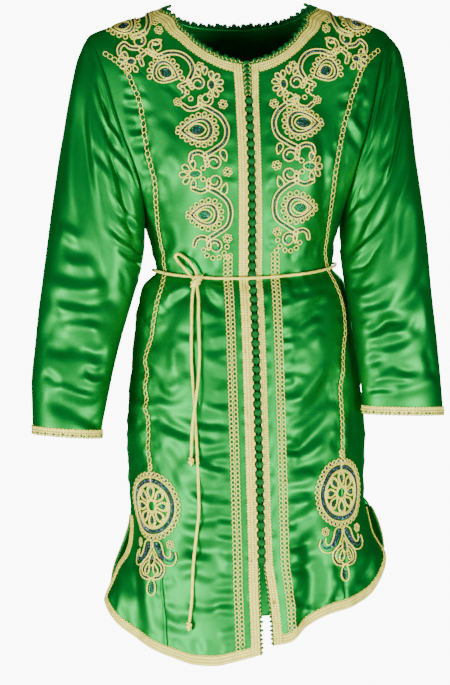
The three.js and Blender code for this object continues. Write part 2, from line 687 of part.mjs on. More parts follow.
function frontHalf(side) {
  const name = sideName(side);
  const edgeAt = (z) => angleAt(side, lookUp(FRONT_EDGE, "z", name, z), z);
  const princessAt = (z) => angleAt(side, lookUp(PRINCESS, "z", name, z), z);
  const hemAt = (angle) => lookUp(HEM_FRONT, "angle", name, angle);
  const edgeFoot = edgeAt(HEM_ABOUT);
  const princessFoot = princessAt(HEM_ABOUT);
  const hemLine = (from, to) =>
    walkable(side, heights(from, to, 3).map((angle) => ({ angle, z: hemAt(angle) })));
  const hemCentre = hemLine(edgeFoot, princessFoot);
  const hemSide = hemLine(princessFoot, SLIT_CORNER_FRONT);

  const neck = seamCurve(
    side,
    NECK_FRONT.map((p, i) => ({
      angle: i === NECK_FRONT.length - 1 ? 90 : angleAt(side, p.x, p.z),
      z: p.z,
    })),
  );
  const shoulder = shoulderLine(side);
  const armhole = seamCurve(side, ARMHOLE_FRONT);
  const tipOnArmhole = armhole.whereHeight(TIP_ON_ARMHOLE);
  const edge = walkable(
    side,
    heights(hemAt(edgeFoot), NECK_FRONT[0].z, 6).map((z) => ({ angle: edgeAt(z), z })),
  );
  const princess = walkable(
    side,
    heights(hemAt(princessFoot), TIP_ON_PRINCESS, 5).map((z) => ({ angle: princessAt(z), z })),
  );
  const sideSeam = walkable(side, sideLine(side, hemAt(SLIT_CORNER_FRONT), SLIT_CORNER_FRONT));

  const onEdge = EDGE_BREAKS.map((z) => edge.whereHeight(z));
  const starts = rowsAlong(
    edge,
    [...lowerBreaks(edge, WAIST_DIP), ...onEdge, edge.total - BRAID_WIDE, edge.total],
    [...LOWER_ROWS, ...CENTRE_UPPER_ROWS],
  );
  const upToTip = [...lowerBreaks(princess, 3), princess.total];
  const princessRows = rowsAlong(princess, upToTip, [...LOWER_ROWS, CENTRE_UPPER_ROWS[0]]);
  const overShoulder = rowsAlong(
    shoulder,
    [0, shoulder.total - BRAID_WIDE, shoulder.total],
    CENTRE_UPPER_ROWS.slice(3),
  );
  const ends = [...princessRows, armhole.at(tipOnArmhole), ...overShoulder];
  const sides = [
    ...rowsAlong(sideSeam, [...lowerBreaks(sideSeam, 0), sideSeam.total],
      [...LOWER_ROWS, SIDE_UPPER_ROWS[0]]),
    ...rowsAlong(armhole, [armhole.total, tipOnArmhole], [SIDE_UPPER_ROWS[1]]).slice(1),
  ];
  const tipEdge = walkable(side, [princessRows[princessRows.length - 1], armhole.at(tipOnArmhole)]);

  const fixed = [0, BRAID_WIDE, BAND_START, BAND_START + BAND_WIDE];
  const shares = (count, from, to) =>
    Array.from({ length: count }, (_, n) => mix(from, to, (n + 1) / count));
  const centre = patch(side, false, starts, ends, hemCentre, neck, (total) => [
    ...fixed,
    ...shares(CENTRE_SPREAD, fixed[3], total - CHAIN_HALF),
    total,
  ]);
  const flank = patch(side, false, princessRows, sides, hemSide, tipEdge, (total) => {
    const braid = Math.min(HEM_BRAID_WIDE, total / 4);
    return [0, CHAIN_HALF, ...shares(SIDE_SPREAD, CHAIN_HALF, total - braid), total];
  });
  const marked = (spots) => spots.map((row) => row.map((s) => ({ ...s, side })));
  return { centre: marked(centre), flank: marked(flank), armhole };
}

function backHalf(side) {
  const name = sideName(side);
  const hemAt = (angle) => lookUp(HEM_BACK, "angle", name, angle);
  const hem = walkable(
    side,
    heights(180, SLIT_CORNER_BACK, 3).map((angle) => ({ angle, z: hemAt(angle) })),
  );
  const neckPoints = NECK_BACK.map((p, i) => ({
    angle: i === 0 ? 90 : angleAt(side, p.x, p.z, true),
    z: p.z,
  }));
  const neck = seamCurve(side, neckPoints.reverse());
  const shoulder = shoulderLine(side);
  const armhole = seamCurve(side, ARMHOLE_BACK);
  const middle = walkable(
    side,
    heights(hemAt(180), NECK_BACK[NECK_BACK.length - 1].z, 6).map((z) => ({ angle: 180, z })),
  );
  const sideSeam = walkable(side, sideLine(side, hemAt(SLIT_CORNER_BACK), SLIT_CORNER_BACK));
  const onMiddle = [UNDERARM, BACK_ARM_BREAK].map((z) => middle.whereHeight(z));
  const starts = rowsAlong(
    middle,
    [...lowerBreaks(middle, 0), ...onMiddle, middle.total - BRAID_WIDE, middle.total],
    [...LOWER_ROWS, ...BACK_UPPER_ROWS],
  );
  const ends = [
    ...rowsAlong(sideSeam, [...lowerBreaks(sideSeam, 0), sideSeam.total],
      [...LOWER_ROWS, BACK_UPPER_ROWS[0]]),
    ...rowsAlong(armhole, [0, armhole.total], [BACK_UPPER_ROWS[1]]).slice(1),
    ...rowsAlong(shoulder, [0, shoulder.total - BRAID_WIDE, shoulder.total],
      BACK_UPPER_ROWS.slice(2)).slice(1),
  ];
  const spots = patch(side, true, starts, ends, hem, neck, (total) => [
    ...Array.from({ length: BACK_SPREAD + 1 }, (_, n) =>
      mix(0, total - HEM_BRAID_WIDE, n / BACK_SPREAD)),
    total,
  ]);
  return { spots: spots.map((row) => row.map((s) => ({ ...s, side }))), armhole };
}

// Body panels
const fronts = { [RIGHT]: frontHalf(RIGHT), [LEFT]: frontHalf(LEFT) };
const backs = { [RIGHT]: backHalf(RIGHT), [LEFT]: backHalf(LEFT) };
const backRows = backs[RIGHT].spots.map((row, r) => [
  ...[...row].reverse(),
  ...backs[LEFT].spots[r].slice(1),
]);
for (const side of [RIGHT, LEFT]) {
  const { centre, flank } = fronts[side];
  addPiece(`front_${sideName(side)}`, cloth(openEnd(centre)), "satin");
  addPiece(`side_front_${sideName(side)}`, cloth(openTop(openEnd(openStart(flank)))), "satin");
}
addPiece("back", cloth(openStart(openEnd(backRows))), "satin");

// Braids and chains on the fronts. Rows of both front panels are joined along the curved seam.
const CENTRE_COLUMNS = fronts[RIGHT].centre[0].length;
const FLANK_COLUMNS = fronts[RIGHT].flank[0].length;
const SLIT_ROW = LOWER_ROWS[0] + LOWER_ROWS[1];
const rowAtHeight = (spots, column, z) => spots.findIndex((row) => row[column].z > z);
for (const side of [RIGHT, LEFT]) {
  const name = sideName(side);
  const { centre, flank } = fronts[side];
  const joined = flank.map((row, r) => [...centre[r], ...row.slice(1)]);
  const besideBraid = joined.map((row) => [
    row[0],
    stepTo(row[1], row[2], SEAM_GAP),
    ...row.slice(2),
  ]);
  const slitColumn = CENTRE_COLUMNS + FLANK_COLUMNS - 3;
  addPiece(`front_braid_${name}`, trim(centre, BRAID_THICK, (r, c) => c === 0), "gold");
  addPiece(
    `hem_braid_front_${name}`,
    trim(besideBraid, BRAID_THICK, (r, c) => (r === 0 && c > 0) || (c === slitColumn && r < SLIT_ROW)),
    "gold",
  );
  const bandTop = rowAtHeight(centre, 2, BAND_TOP);
  const bandRows = centre.map((row, r) =>
    r === 1 ? row.map((s, c) => stepTo(s, centre[2][c], SEAM_GAP)) : row);
  addPiece(
    `band_${name}`,
    trim(bandRows, CHAIN_THICK, (r, c) => c === 2 && r > 0 && r < bandTop),
    "gold",
  );
  const seam = CENTRE_COLUMNS - 1;
  const chainFoot = rowAtHeight(centre, seam, CHAIN_FOOT);
  addPiece(
    `chain_${name}`,
    trim(joined, CHAIN_THICK, (r, c) => (c === seam - 1 || c === seam) && r >= chainFoot),
    "gold",
  );
}
addPiece(
  "hem_braid_back",
  trim(backRows, BRAID_THICK, (r, c) =>
    r === 0 || (r < SLIT_ROW && (c === 0 || c === backRows[0].length - 2))),
  "gold",
);

// Neck braid: one strip over the right front, the back and the left front
const topStrip = (spots) => spots.slice(-2);
const neckRows = [0, 1].map((r) => {
  const beside = (row) => [stepTo(row[1], row[2], SEAM_GAP), ...row.slice(2)];
  const right = beside(topStrip(fronts[RIGHT].centre)[r]);
  const left = beside(topStrip(fronts[LEFT].centre)[r]).reverse();
  return [...right, ...topStrip(backRows)[r].slice(1), ...left.slice(1)];
});
addPiece("neck_braid", trim(neckRows, BRAID_THICK), "gold");

// A string of lumps: rings of points round a path, one radius for each point
function lumps(path, radii, sides) {
  const rings = path.map((p, i) =>
    Array.from({ length: sides }, (_, n) => {
      const turn = (n / sides) * 2 * Math.PI;
      return p.clone().add(vector(Math.cos(turn) * radii[i], Math.sin(turn) * radii[i], 0));
    }));
  const last = path.length - 1;
  const points = [...rings.flat(), path[0].clone(), path[last].clone()];
  const start = rings.length * sides;
  const faces = [];
  for (let n = 0; n < sides; n += 1) {
    const next = (n + 1) % sides;
    for (let i = 0; i < last; i += 1) {
      const [a, b] = [i * sides + n, i * sides + next];
      faces.push([a, b, b + sides], [a, b + sides, a + sides]);
    }
    faces.push([start, next, n], [start + 1, last * sides + n, last * sides + next]);
  }
  return closedGeometry(points, faces);
}

// A round cord along a curve
function cord(curve, steps) {
  const section = Array.from({ length: CORD_SIDES }, (_, n) => {
    const turn = (n / CORD_SIDES) * 2 * Math.PI;
    return new THREE.Vector2(Math.cos(turn), Math.sin(turn)).multiplyScalar(CORD_RADIUS);
  });
  return new THREE.ExtrudeGeometry(new THREE.Shape(section), { extrudePath: curve, steps });
}

// A knot: a profile turned round the direction that the cord runs in
function knot(profile, centre, along) {
  const outline = [
    new THREE.Vector2(0, profile[0][0]),
    ...profile.map(([distance, radius]) => new THREE.Vector2(radius, distance)),
    new THREE.Vector2(0, profile[profile.length - 1][0]),
  ];
  const geometry = new THREE.LatheGeometry(outline, CORD_SIDES);
  geometry.applyQuaternion(new THREE.Quaternion().setFromUnitVectors(vector(0, 1, 0), along));
  return geometry.translate(centre.x, centre.y, centre.z);
}

// Sleeves: rings round the arm's line. The first ring is the armhole, and its shape fades out.
function sleeve(side) {
  const table = (side === RIGHT ? SLEEVE_RIGHT : SLEEVE_LEFT).map((row, at) => ({ at, ...row }));
  const folds = SLEEVE_FOLDS[side];
  // Every other point of the first ring is a corner of the panels' armhole edge.
  const front = fronts[side].armhole;
  const back = backs[side].armhole;
  const tip = front.whereHeight(TIP_ON_ARMHOLE);
  const corners = [
    front.at(0),
    ...rowsAlong(front, [tip, front.total], [SIDE_UPPER_ROWS[1]]),
    ...rowsAlong(back, [0, back.total], [BACK_UPPER_ROWS[1]]).slice(1),
  ].map((spot) => bodyPoint(side, spot.angle, spot.z));
  const half = corners.length - 1;
  const column = (name, at) => lookUp(table, "at", name, at);
  const loop = Array.from({ length: 2 * half + 1 }, (_, k) =>
    corners[Math.floor(k / 2)].clone().lerp(corners[Math.min(half, Math.ceil(k / 2))], 0.5));
  const ellipse = (at, turn) => {
    const [outX, outZ] = [column("outX", at), column("outZ", at)];
    const [inX, inZ] = [column("inX", at), column("inZ", at)];
    const lean = Math.cos(turn * DEGREE);
    return vector(
      side * ((outX + inX) / 2 + (lean * (outX - inX)) / 2),
      column("mid", at) - column("depth", at) * Math.sin(turn * DEGREE),
      (outZ + inZ) / 2 + (lean * (outZ - inZ)) / 2,
    );
  };
  const fromLoop = (turn) => {
    const k = (turn / 180) * half;
    const n = Math.min(2 * half - 1, Math.floor(k));
    return loop[n].clone().lerp(loop[n + 1], k - n).sub(ellipse(0, turn));
  };
  const base = (at, turn) => {
    const whole = (turn + 360) % 360;
    return ellipse(at, whole).addScaledVector(fromLoop(whole), (1 - ease(at / 3.2)) ** 1.5);
  };
  const normal = (at, turn) => {
    const along = base(Math.min(10, at + 0.1), turn).sub(base(Math.max(0, at - 0.1), turn));
    const round = base(at, turn + 3).sub(base(at, turn - 3));
    return along.cross(round).multiplyScalar(-side).normalize();
  };
  const raised = (at, turn) =>
    folds.reduce((sum, f) => {
      const inView = { x0: f.turn0, z0: f.along0 * 60, x1: f.turn1, z1: f.along1 * 60 };
      return sum + foldHeight({ ...inView, wide: f.wide, deep: f.deep }, turn, at * 60);
    }, 0);
  const point = (at, turn, out) =>
    base(at, turn).addScaledVector(normal(at, turn), out + raised(at, turn) * ease((at - 0.1) / 0.8));
  const turns = Array.from({ length: 2 * half }, (_, k) => (k / half) * 180);
  const rings = (stations, out) => stations.map((at) => turns.map((turn) => point(at, turn, out)));
  return { rings, point };
}

for (const side of [RIGHT, LEFT]) {
  const { rings } = sleeve(side);
  const stations = [SLEEVE_START, ...SLEEVE_STATIONS.slice(1)];
  addPiece(`sleeve_${sideName(side)}`, slab(rings(stations, 0), rings(stations, -WALL), undefined, true),
    "satin");
  const cuff = stations.slice(-2);
  addPiece(
    `cuff_braid_${sideName(side)}`,
    slab(rings(cuff, LAY_GAP + BRAID_THICK), rings(cuff, LAY_GAP), undefined, true),
    "gold",
  );
}

// Knotted buttons on one cord down the front opening
const buttonPath = [];
const buttonRadii = [];
for (let z = BUTTON_TOP; z > BUTTON_BOTTOM; z -= BUTTON_PITCH) {
  for (const [share, radius] of BUTTON_PROFILE) {
    const height = z - share * BUTTON_PITCH;
    buttonPath.push(bodyPoint(LEFT, 0, height, BUTTON_OUT).setX(0));
    buttonRadii.push(radius);
  }
}
addPiece("button_row", lumps(buttonPath, buttonRadii, 6), "button");

// Belt round the waist, from one side of its knot to the other
const beltPoint = (turn, out) => {
  const whole = (turn + 360) % 360;
  const side = whole <= 180 ? LEFT : RIGHT;
  const angle = whole <= 180 ? whole : 360 - whole;
  const z = BELT_SIDE - BELT_DIP * Math.max(0, Math.cos(angle * DEGREE))
    + side * BELT_TILT * Math.sin(angle * DEGREE);
  const point = bodyPoint(side, angle, z);
  const onButtons = angle < 90 ? Math.exp(-((point.x / BUTTON_HUMP) ** 4)) : 0;
  return bodyPoint(side, angle, z, out ?? mix(BELT_OUT, BELT_OVER_BUTTONS, onButtons));
};
const knotTurn = 360 - angleAt(RIGHT, -BELT_KNOT.x - KNOT_INSET, BELT_KNOT.z);
const beltTurns = [
  ...heights(knotTurn + BELT_END_TURN, 360 - BESIDE_BUTTONS, BELT_STEP),
  360 - OVER_BUTTONS,
  360 + OVER_BUTTONS,
  ...heights(360 + BESIDE_BUTTONS, knotTurn + 360 - BELT_END_TURN, BELT_STEP),
];
const belt = new THREE.CatmullRomCurve3(beltTurns.map((turn) => beltPoint(turn)), false, "centripetal");
addPiece("belt", cord(belt, BELT_STEPS), "gold");

// The knot, its loop and its ends
const onFront = (spot) => {
  const aim = { x: spot.x, z: spot.z };
  let point = null;
  for (let turn = 0; turn < 8; turn += 1) {
    point = bodyPoint(RIGHT, angleAt(RIGHT, -aim.x, aim.z), aim.z, spot.out);
    aim.x += spot.x - point.x;
    aim.z += spot.z - point.z;
  }
  return point;
};
const knotAlong = vector(-KNOT_LEAN, 0, -1).normalize();
addPiece("belt_knot", knot(KNOT_PROFILE, onFront(BELT_KNOT), knotAlong), "gold");
const onCurve = (spots) => new THREE.CatmullRomCurve3(spots.map(onFront), false, "centripetal");
addPiece("belt_loop", cord(onCurve(BELT_LOOP), LOOP_STEPS), "gold");
for (const [name, spots, steps] of [
  ["short", TAIL_SHORT, SHORT_STEPS],
  ["long", TAIL_LONG, LONG_STEPS],
]) {
  const tail = onCurve(spots);
  addPiece(`belt_tail_${name}`, cord(tail, steps), "gold");
  addPiece(`tail_knot_${name}`, knot(END_KNOT_PROFILE, tail.getPoint(1), tail.getTangent(1)), "gold");
}

export default tunic;
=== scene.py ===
"""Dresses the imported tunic: satin panels with their creases, gold braid, chains, embroidery, beads,
knotted buttons and the cord belt.

Shapes are worked out in millimetres on the same worn body as the CAD solids, and meshes are made in
metres. "right" is the wearer's right, at -X, and "left" is at +X. The front faces -Y.
"""

import math

import bmesh
import bpy
import numpy as np
from mathutils import Matrix, Vector


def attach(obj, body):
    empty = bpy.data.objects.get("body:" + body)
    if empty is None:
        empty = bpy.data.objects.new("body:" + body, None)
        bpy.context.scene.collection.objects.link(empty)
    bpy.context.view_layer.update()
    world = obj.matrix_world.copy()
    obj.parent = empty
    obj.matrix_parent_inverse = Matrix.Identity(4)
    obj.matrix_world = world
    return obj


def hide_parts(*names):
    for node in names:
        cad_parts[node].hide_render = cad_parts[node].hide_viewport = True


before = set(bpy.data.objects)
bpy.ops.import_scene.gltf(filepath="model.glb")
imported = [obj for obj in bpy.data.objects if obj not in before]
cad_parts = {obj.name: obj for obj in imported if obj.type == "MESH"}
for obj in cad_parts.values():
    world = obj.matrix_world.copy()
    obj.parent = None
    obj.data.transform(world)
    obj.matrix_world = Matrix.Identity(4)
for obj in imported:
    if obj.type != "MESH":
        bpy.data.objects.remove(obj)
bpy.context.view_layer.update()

MM = 0.001
RIGHT, LEFT = -1, 1
SIDES = (RIGHT, LEFT)
SIDE_NAME = {RIGHT: "right", LEFT: "left"}

# Sizes shared with the solids, in millimetres
LAY_GAP = 0.45
BRAID_WIDE = 13
HEM_BRAID_WIDE = 13
BAND_START, BAND_WIDE = 22, 13
SLIT_TOP = -712
UNDERARM = -295
SHOULDER_POINT = -25
SIDE_NECK = 17
WAIST = -360
WAIST_DIP = 16
HIP_SIDE_OF_WAIST = 22
TIP_ON_PRINCESS, TIP_ON_ARMHOLE = -51, -38
SLIT_CORNER_FRONT, SLIT_CORNER_BACK = 85, 95
# How far above and below the waist its dip is felt, and the height under which the skirt flares
DIP_SPREAD = 120
FLARE_TOP = -700
# The folds start this far from the opening, and are whole this much further on
FOLD_FREE, FOLD_RISE = 16, 30

# Camera: the photograph's own view
IMAGE_WIDE, IMAGE_HIGH = 450, 685
CAMERA_FAR = 3200
CAMERA_AZIMUTH = -7
CAMERA_HEIGHT = -362.5
CAMERA_ROLL = 1.3
MM_PER_PIXEL = 1.45
AXIS_PIXEL = (245.3, 270.0)
SENSOR = 36


def rows(names, *values):
    """A table with named columns, sorted by its first column."""
    order = sorted(values)
    return {name: np.array([row[i] for row in order], float) for i, name in enumerate(names.split())}


BODY = rows(
    "z right left front back",
    (30, 50, 50, 22, 20), (17, 102, 102, 32, 30), (0, 150, 150, 46, 46), (-25, 218, 218, 64, 64),
    (-50, 227, 227, 78, 76), (-75, 229, 229, 88, 84), (-125, 226, 226, 98, 93), (-170, 216, 216, 106, 97),
    (-205, 201, 201, 110, 97), (-238, 180, 180, 111, 95),
    (-270, 156, 156, 108, 91), (-295, 143, 143, 104, 88),
    (-330, 133, 133, 97, 82), (-360, 127, 129, 92, 77), (-382, 146, 145, 102, 90), (-417, 156, 153, 109, 99),
    (-452, 161, 158, 113, 105), (-487, 165, 162, 116, 110), (-540, 171, 168, 119, 116),
    (-608, 175, 172, 123, 121), (-660, 174, 169, 125, 123), (-712, 172, 168, 127, 125),
    (-800, 172, 168, 130, 129), (-930, 172, 168, 134, 134),
)
FLARE = rows(
    "z rightFront rightBack leftFront leftBack",
    (-700, 0, 0, 0, 4), (-722, 0, 2, 5, 17), (-748, 3, 10, 11, 27), (-765, 9, 17, 20, 31),
    (-782, 20, 24, 31, 33), (-800, 28, 29, 35, 34), (-836, 43, 34, 38, 36), (-930, 50, 36, 40, 38),
)
NECK_FRONT = ((5, -74), (29, -69), (52, -58), (71, -43), (87, -25), (97, -5), (102, 17))
NECK_BACK = ((102, 17), (99, 8), (84, 0), (58, -6), (28, -9), (0, -10))
ARMHOLE_FRONT = ((90, -25), (77, -33), (68, -45), (61, -74), (56, -125), (54, -170), (54, -205),
                 (58, -238), (68, -270), (79, -288), (90, -295))
ARMHOLE_BACK = ((90, -295), (100, -287), (110, -267), (118, -235), (121, -195), (120, -145),
                (116, -95), (110, -58), (101, -36), (90, -25))
PRINCESS = rows(
    "z right left",
    (-45, 208, 208), (-52, 196, 197), (-63, 182, 183), (-76, 169, 171), (-100, 159, 160),
    (-125, 151, 150), (-162, 147, 137), (-200, 142, 127), (-236, 133, 120), (-260, 130, 119),
    (-296, 128, 119), (-325, 124, 116), (-345, 119, 114), (-362, 117, 116), (-382, 124, 126),
    (-402, 130, 133), (-438, 139, 137), (-487, 148, 133), (-542, 151, 127), (-600, 150, 125),
    (-660, 145, 123), (-730, 141, 122), (-800, 137, 121), (-930, 130, 120),
)
HEM_FRONT = rows(
    "angle right left",
    (0, -900, -890), (12, -909, -887), (24, -916, -866), (34, -915, -853), (45, -906, -847),
    (56, -889, -836), (68, -864, -806), (78, -844, -783), (85, -833, -774),
)
HEM_BACK = rows(
    "angle right left",
    (95, -815, -776), (108, -834, -800), (125, -862, -838), (145, -882, -872), (163, -889, -887),
    (180, -890, -890),
)
FRONT_EDGE = rows(
    "z right left",
    (-60, 7, 6), (-90, 6, 5.5), (-118, 5, 5), (-770, 5, 5), (-800, 5.5, 8), (-840, 5, 12), (-900, 4.5, 15),
)

# Large soft folds, as in the solids: x and z of one end, x and z of the other, width and depth
FRONT_FOLDS = (
    (-160, -120, -138, -250, 14, -5), (-120, -330, -70, -215, 18, -4), (-95, -385, -140, -470, 16, -5),
    (-70, -385, -48, -430, 12, -4), (-60, -580, -150, -565, 20, -6), (-60, -640, -112, -655, 18, 4),
    (-55, -770, -110, -745, 15, -4), (-180, -700, -176, -900, 16, -9), (125, -380, 60, -470, 17, -5),
    (120, -520, 55, -640, 20, -7), (45, -700, 100, -655, 16, 4), (74, -740, 66, -900, 15, -9),
    (120, -750, 128, -880, 18, 5), (92, -150, 70, -330, 20, 4), (106, -215, 112, -350, 12, -4),
)
BACK_FOLDS = (
    (-110, -350, -60, -230, 18, -4), (105, -350, 50, -245, 16, -4), (-60, -375, -95, -520, 18, -5),
    (40, -375, 70, -490, 16, -5), (-30, -640, -40, -900, 22, -6), (70, -600, 85, -900, 24, -7),
    (-120, -700, -130, -900, 18, 5),
)
BUST_X, BUST_Z, BUST_WIDE, BUST_HIGH, BUST_DEEP = 74, -212, 44, 58, 11

SLEEVE_ROWS = {
    RIGHT: rows(
        "at outX outZ inX inZ depth mid",
        (0, 218, -25, 143, -295, 68, 0),
        (1, 232, -54, 142.5, -305, 69, -2), (2, 248, -119, 143, -322, 70, -5),
        (3, 261, -188, 148, -352, 67, -9), (4, 274, -258, 157, -382, 62, -15),
        (5, 285, -327, 168, -415, 57, -22), (6, 296, -397, 180, -450, 52, -32),
        (7, 305, -466, 192, -490, 47, -42), (8, 312, -522, 203, -534, 42, -50),
        (9, 312, -574, 214, -583, 38, -57), (10, 312, -587, 215, -596, 37, -58),
    ),
    LEFT: rows(
        "at outX outZ inX inZ depth mid",
        (0, 218, -25, 143, -295, 68, 0), (1, 236, -52, 142, -304, 69, -3), (2, 246, -125, 141, -319, 70, -9),
        (3, 250, -195, 139.5, -345, 67, -20), (4, 256, -262, 140, -372, 62, -33),
        (5, 261, -330, 143, -404, 56, -45), (6, 264, -398, 148, -445, 50, -54),
        (7, 269, -465, 153, -490, 45, -60), (8, 273, -525, 157, -530, 39, -65),
        (9, 275, -564, 159, -559, 35, -67), (10, 275, -577, 159, -572, 34, -68),
    ),
}
# Sleeve folds: turn is 0 outside, 90 in front and 180 inside; along is a row of the sleeve's table.
SLEEVE_STEP = 60
SLEEVE_FOLDS = {
    RIGHT: (
        (20, 0.2, 100, 3.0, 13, -5), (55, 0.3, 140, 2.8, 12, -6), (40, 2.0, 125, 5.2, 18, -7),
        (20, 5.6, 120, 6.3, 18, 5), (30, 6.6, 130, 6.9, 16, -5), (60, 8.2, 150, 8.8, 13, -6),
        (200, 2.2, 320, 4.6, 18, -6), (215, 5.2, 330, 6.2, 18, -5),
    ),
    LEFT: (
        (30, 0.2, 110, 2.6, 12, -6), (60, 0.3, 145, 3.2, 13, -5), (40, 1.6, 140, 4.6, 18, -6),
        (35, 5.6, 120, 6.4, 16, -7), (60, 6.6, 140, 7.2, 14, -6), (40, 8.0, 110, 8.3, 16, 4),
        (200, 2.4, 320, 4.2, 18, -6), (215, 5.6, 325, 6.6, 18, -5),
    ),
}
# The same, with the distance from the armhole in millimetres
SLEEVE_FOLDS_MM = {
    side: [(a, b * SLEEVE_STEP, c, d * SLEEVE_STEP, wide, deep) for a, b, c, d, wide, deep in folds]
    for side, folds in SLEEVE_FOLDS.items()
}


def clamp(t):
    return np.clip(t, 0, 1)


def ease(t):
    t = clamp(t)
    return t * t * (3 - 2 * t)


def look_up(table, column, at):
    """Smooth value of a column, without overshoot between its rows."""
    keys = next(iter(table.values()))
    values = table[column]
    step = np.diff(keys)
    slope = np.diff(values) / step
    product = slope[:-1] * slope[1:]
    total = slope[:-1] + slope[1:]
    inner = np.where(product > 0, 2 * product / np.where(total == 0, 1, total), 0)
    tangent = np.concatenate([slope[:1], inner, slope[-1:]])
    at = np.clip(np.asarray(at, float), keys[0], keys[-1])
    i = np.clip(np.searchsorted(keys, at, side="left") - 1, 0, len(step) - 1)
    t = (at - keys[i]) / step[i]
    return (
        (1 + 2 * t) * (1 - t) ** 2 * values[i]
        + t * (1 - t) ** 2 * step[i] * tangent[i]
        + t * t * (3 - 2 * t) * values[i + 1]
        + t * t * (t - 1) * step[i] * tangent[i + 1]
    )


def height_in_table(angle, z):
    """The waist dips at the front, under the belt."""
    forward = np.maximum(0, np.cos(np.radians(angle))) ** 2
    return z + WAIST_DIP * forward * np.exp(-(((z - WAIST) / DIP_SPREAD) ** 2))


def by_side(side, table, column, at):
    """A column that has one value for each side. side is a number or an array of them."""
    right = look_up(table, "right" + column, at)
    left = look_up(table, "left" + column, at)
    return np.where(np.asarray(side) < 0, right, left)


def half_width(side, angle, z):
    front = np.asarray(angle) <= 90
    at_side = ease((np.sin(np.radians(angle)) - 0.62) / 0.38)
    flare = np.where(front, by_side(side, FLARE, "Front", z), by_side(side, FLARE, "Back", z))
    flare = np.where(np.asarray(z) > FLARE_TOP, 0, flare)
    return by_side(side, BODY, "", height_in_table(angle, z)) + flare * at_side


def fold_height(folds, x, z):
    """How high a set of folds stands at points of the view they were drawn in."""
    total = np.zeros(np.broadcast(x, z).shape)
    for x0, z0, x1, z1, wide, deep in folds:
        along_x, along_z = x1 - x0, z1 - z0
        length = math.hypot(along_x, along_z)
        share = ((x - x0) * along_x + (z - z0) * along_z) / length**2
        across = ((x - x0) * along_z - (z - z0) * along_x) / length
        ends = ease(share / 0.3 + 0.5) * ease((1 - share) / 0.3 + 0.5)
        total = total + deep * ends * np.exp(-((across / wide) ** 2))
    return total


def relief(angle, x, z):
    """The solids' own folds and the shaping over the bust."""
    facing = np.abs(np.cos(np.radians(angle)))
    front = np.asarray(angle) <= 90
    folds = np.where(front, fold_height(FRONT_FOLDS, x, z), fold_height(BACK_FOLDS, x, z))
    near_opening = np.where(front, ease((np.abs(x) - FOLD_FREE) / FOLD_RISE), 1)
    swell = BUST_DEEP * np.exp(
        -(((np.abs(x) - BUST_X) / BUST_WIDE) ** 2) - ((z - BUST_Z) / BUST_HIGH) ** 2
    )
    return folds * near_opening * ease(facing / 0.3) + np.where(front, swell, 0) * ease(facing / 0.4)


def smooth_body(side, angle, z):
    angle, z = np.broadcast_arrays(np.asarray(angle, float), np.asarray(z, float))
    across, forward = np.sin(np.radians(angle)), np.cos(np.radians(angle))
    level = height_in_table(angle, z)
    depth = np.where(angle <= 90, look_up(BODY, "front", level), look_up(BODY, "back", level))
    return np.stack([side * half_width(side, angle, z) * across, -depth * forward, z], -1)


def unit(v):
    return v / np.maximum(1e-9, np.linalg.norm(v, axis=-1, keepdims=True))


def run_along(points):
    """The distance walked to each point of a line."""
    return np.concatenate([[0], np.cumsum(np.linalg.norm(np.diff(points, axis=0), axis=1))])


def run_lengths(points, axis):
    """The distance walked to each point of a grid, along its rows or columns."""
    steps = np.linalg.norm(np.diff(points, axis=axis), axis=2)
    zero = np.zeros((1, points.shape[1])) if axis == 0 else np.zeros((points.shape[0], 1))
    return np.concatenate([zero, np.cumsum(steps, axis=axis)], axis=axis)


def between(at, run, values):
    """Each column of values, read at places between those of run."""
    return np.stack([np.interp(at, run, column) for column in values.T], -1)


def directions(path):
    """The way a line runs, at each of its points."""
    return unit(np.vstack([path[1:], path[-1:]]) - np.vstack([path[:1], path[:-1]]))


def full_turn(count):
    """Angles evenly round a circle, in radians."""
    return np.arange(count) / count * 2 * math.pi


def body_normal(side, angle, z):
    turn = smooth_body(side, angle + 0.5, z) - smooth_body(side, angle - 0.5, z)
    rise = smooth_body(side, angle, z + 1) - smooth_body(side, angle, z - 1)
    return unit(np.cross(turn, rise) * np.asarray(side, float)[..., None])


def body_point(side, angle, z, out=0, creases=True):
    """Points on the worn cloth, moved out by its folds, its creases and a clearance."""
    angle, z = np.broadcast_arrays(np.asarray(angle, float), np.asarray(z, float))
    side = np.broadcast_to(side, angle.shape)
    base = smooth_body(side, angle, z)
    height = relief(angle, base[..., 0], z) + out
    if creases:
        height = height + body_creases(side, angle, z)
    return base + body_normal(side, angle, z) * height[..., None]


def angle_at(side, x, z, behind=False):
    """The angle round the body, from its distance from the middle."""
    angle = np.full(np.broadcast(x, z).shape, 120.0 if behind else 45.0)
    for _ in range(12):
        share = np.minimum(1, np.asarray(x) / half_width(side, angle, z))
        angle = np.degrees(np.arcsin(share))
        if behind:
            angle = 180 - angle
    return angle


class Walk:
    """A curve of spots (angle, z) on the body, walked by its real length."""

    def __init__(self, side, spots):
        self.spots = np.asarray(spots, float)
        places = body_point(side, self.spots[:, 0], self.spots[:, 1], creases=False)
        self.lengths = run_along(places)
        self.total = self.lengths[-1]

    def at(self, distance):
        return between(distance, self.lengths, self.spots)

    def where_height(self, z):
        levels, lengths = self.spots[:, 1], self.lengths
        if levels[-1] < levels[0]:
            levels, lengths = levels[::-1], lengths[::-1]
        return float(np.interp(z, levels, lengths))


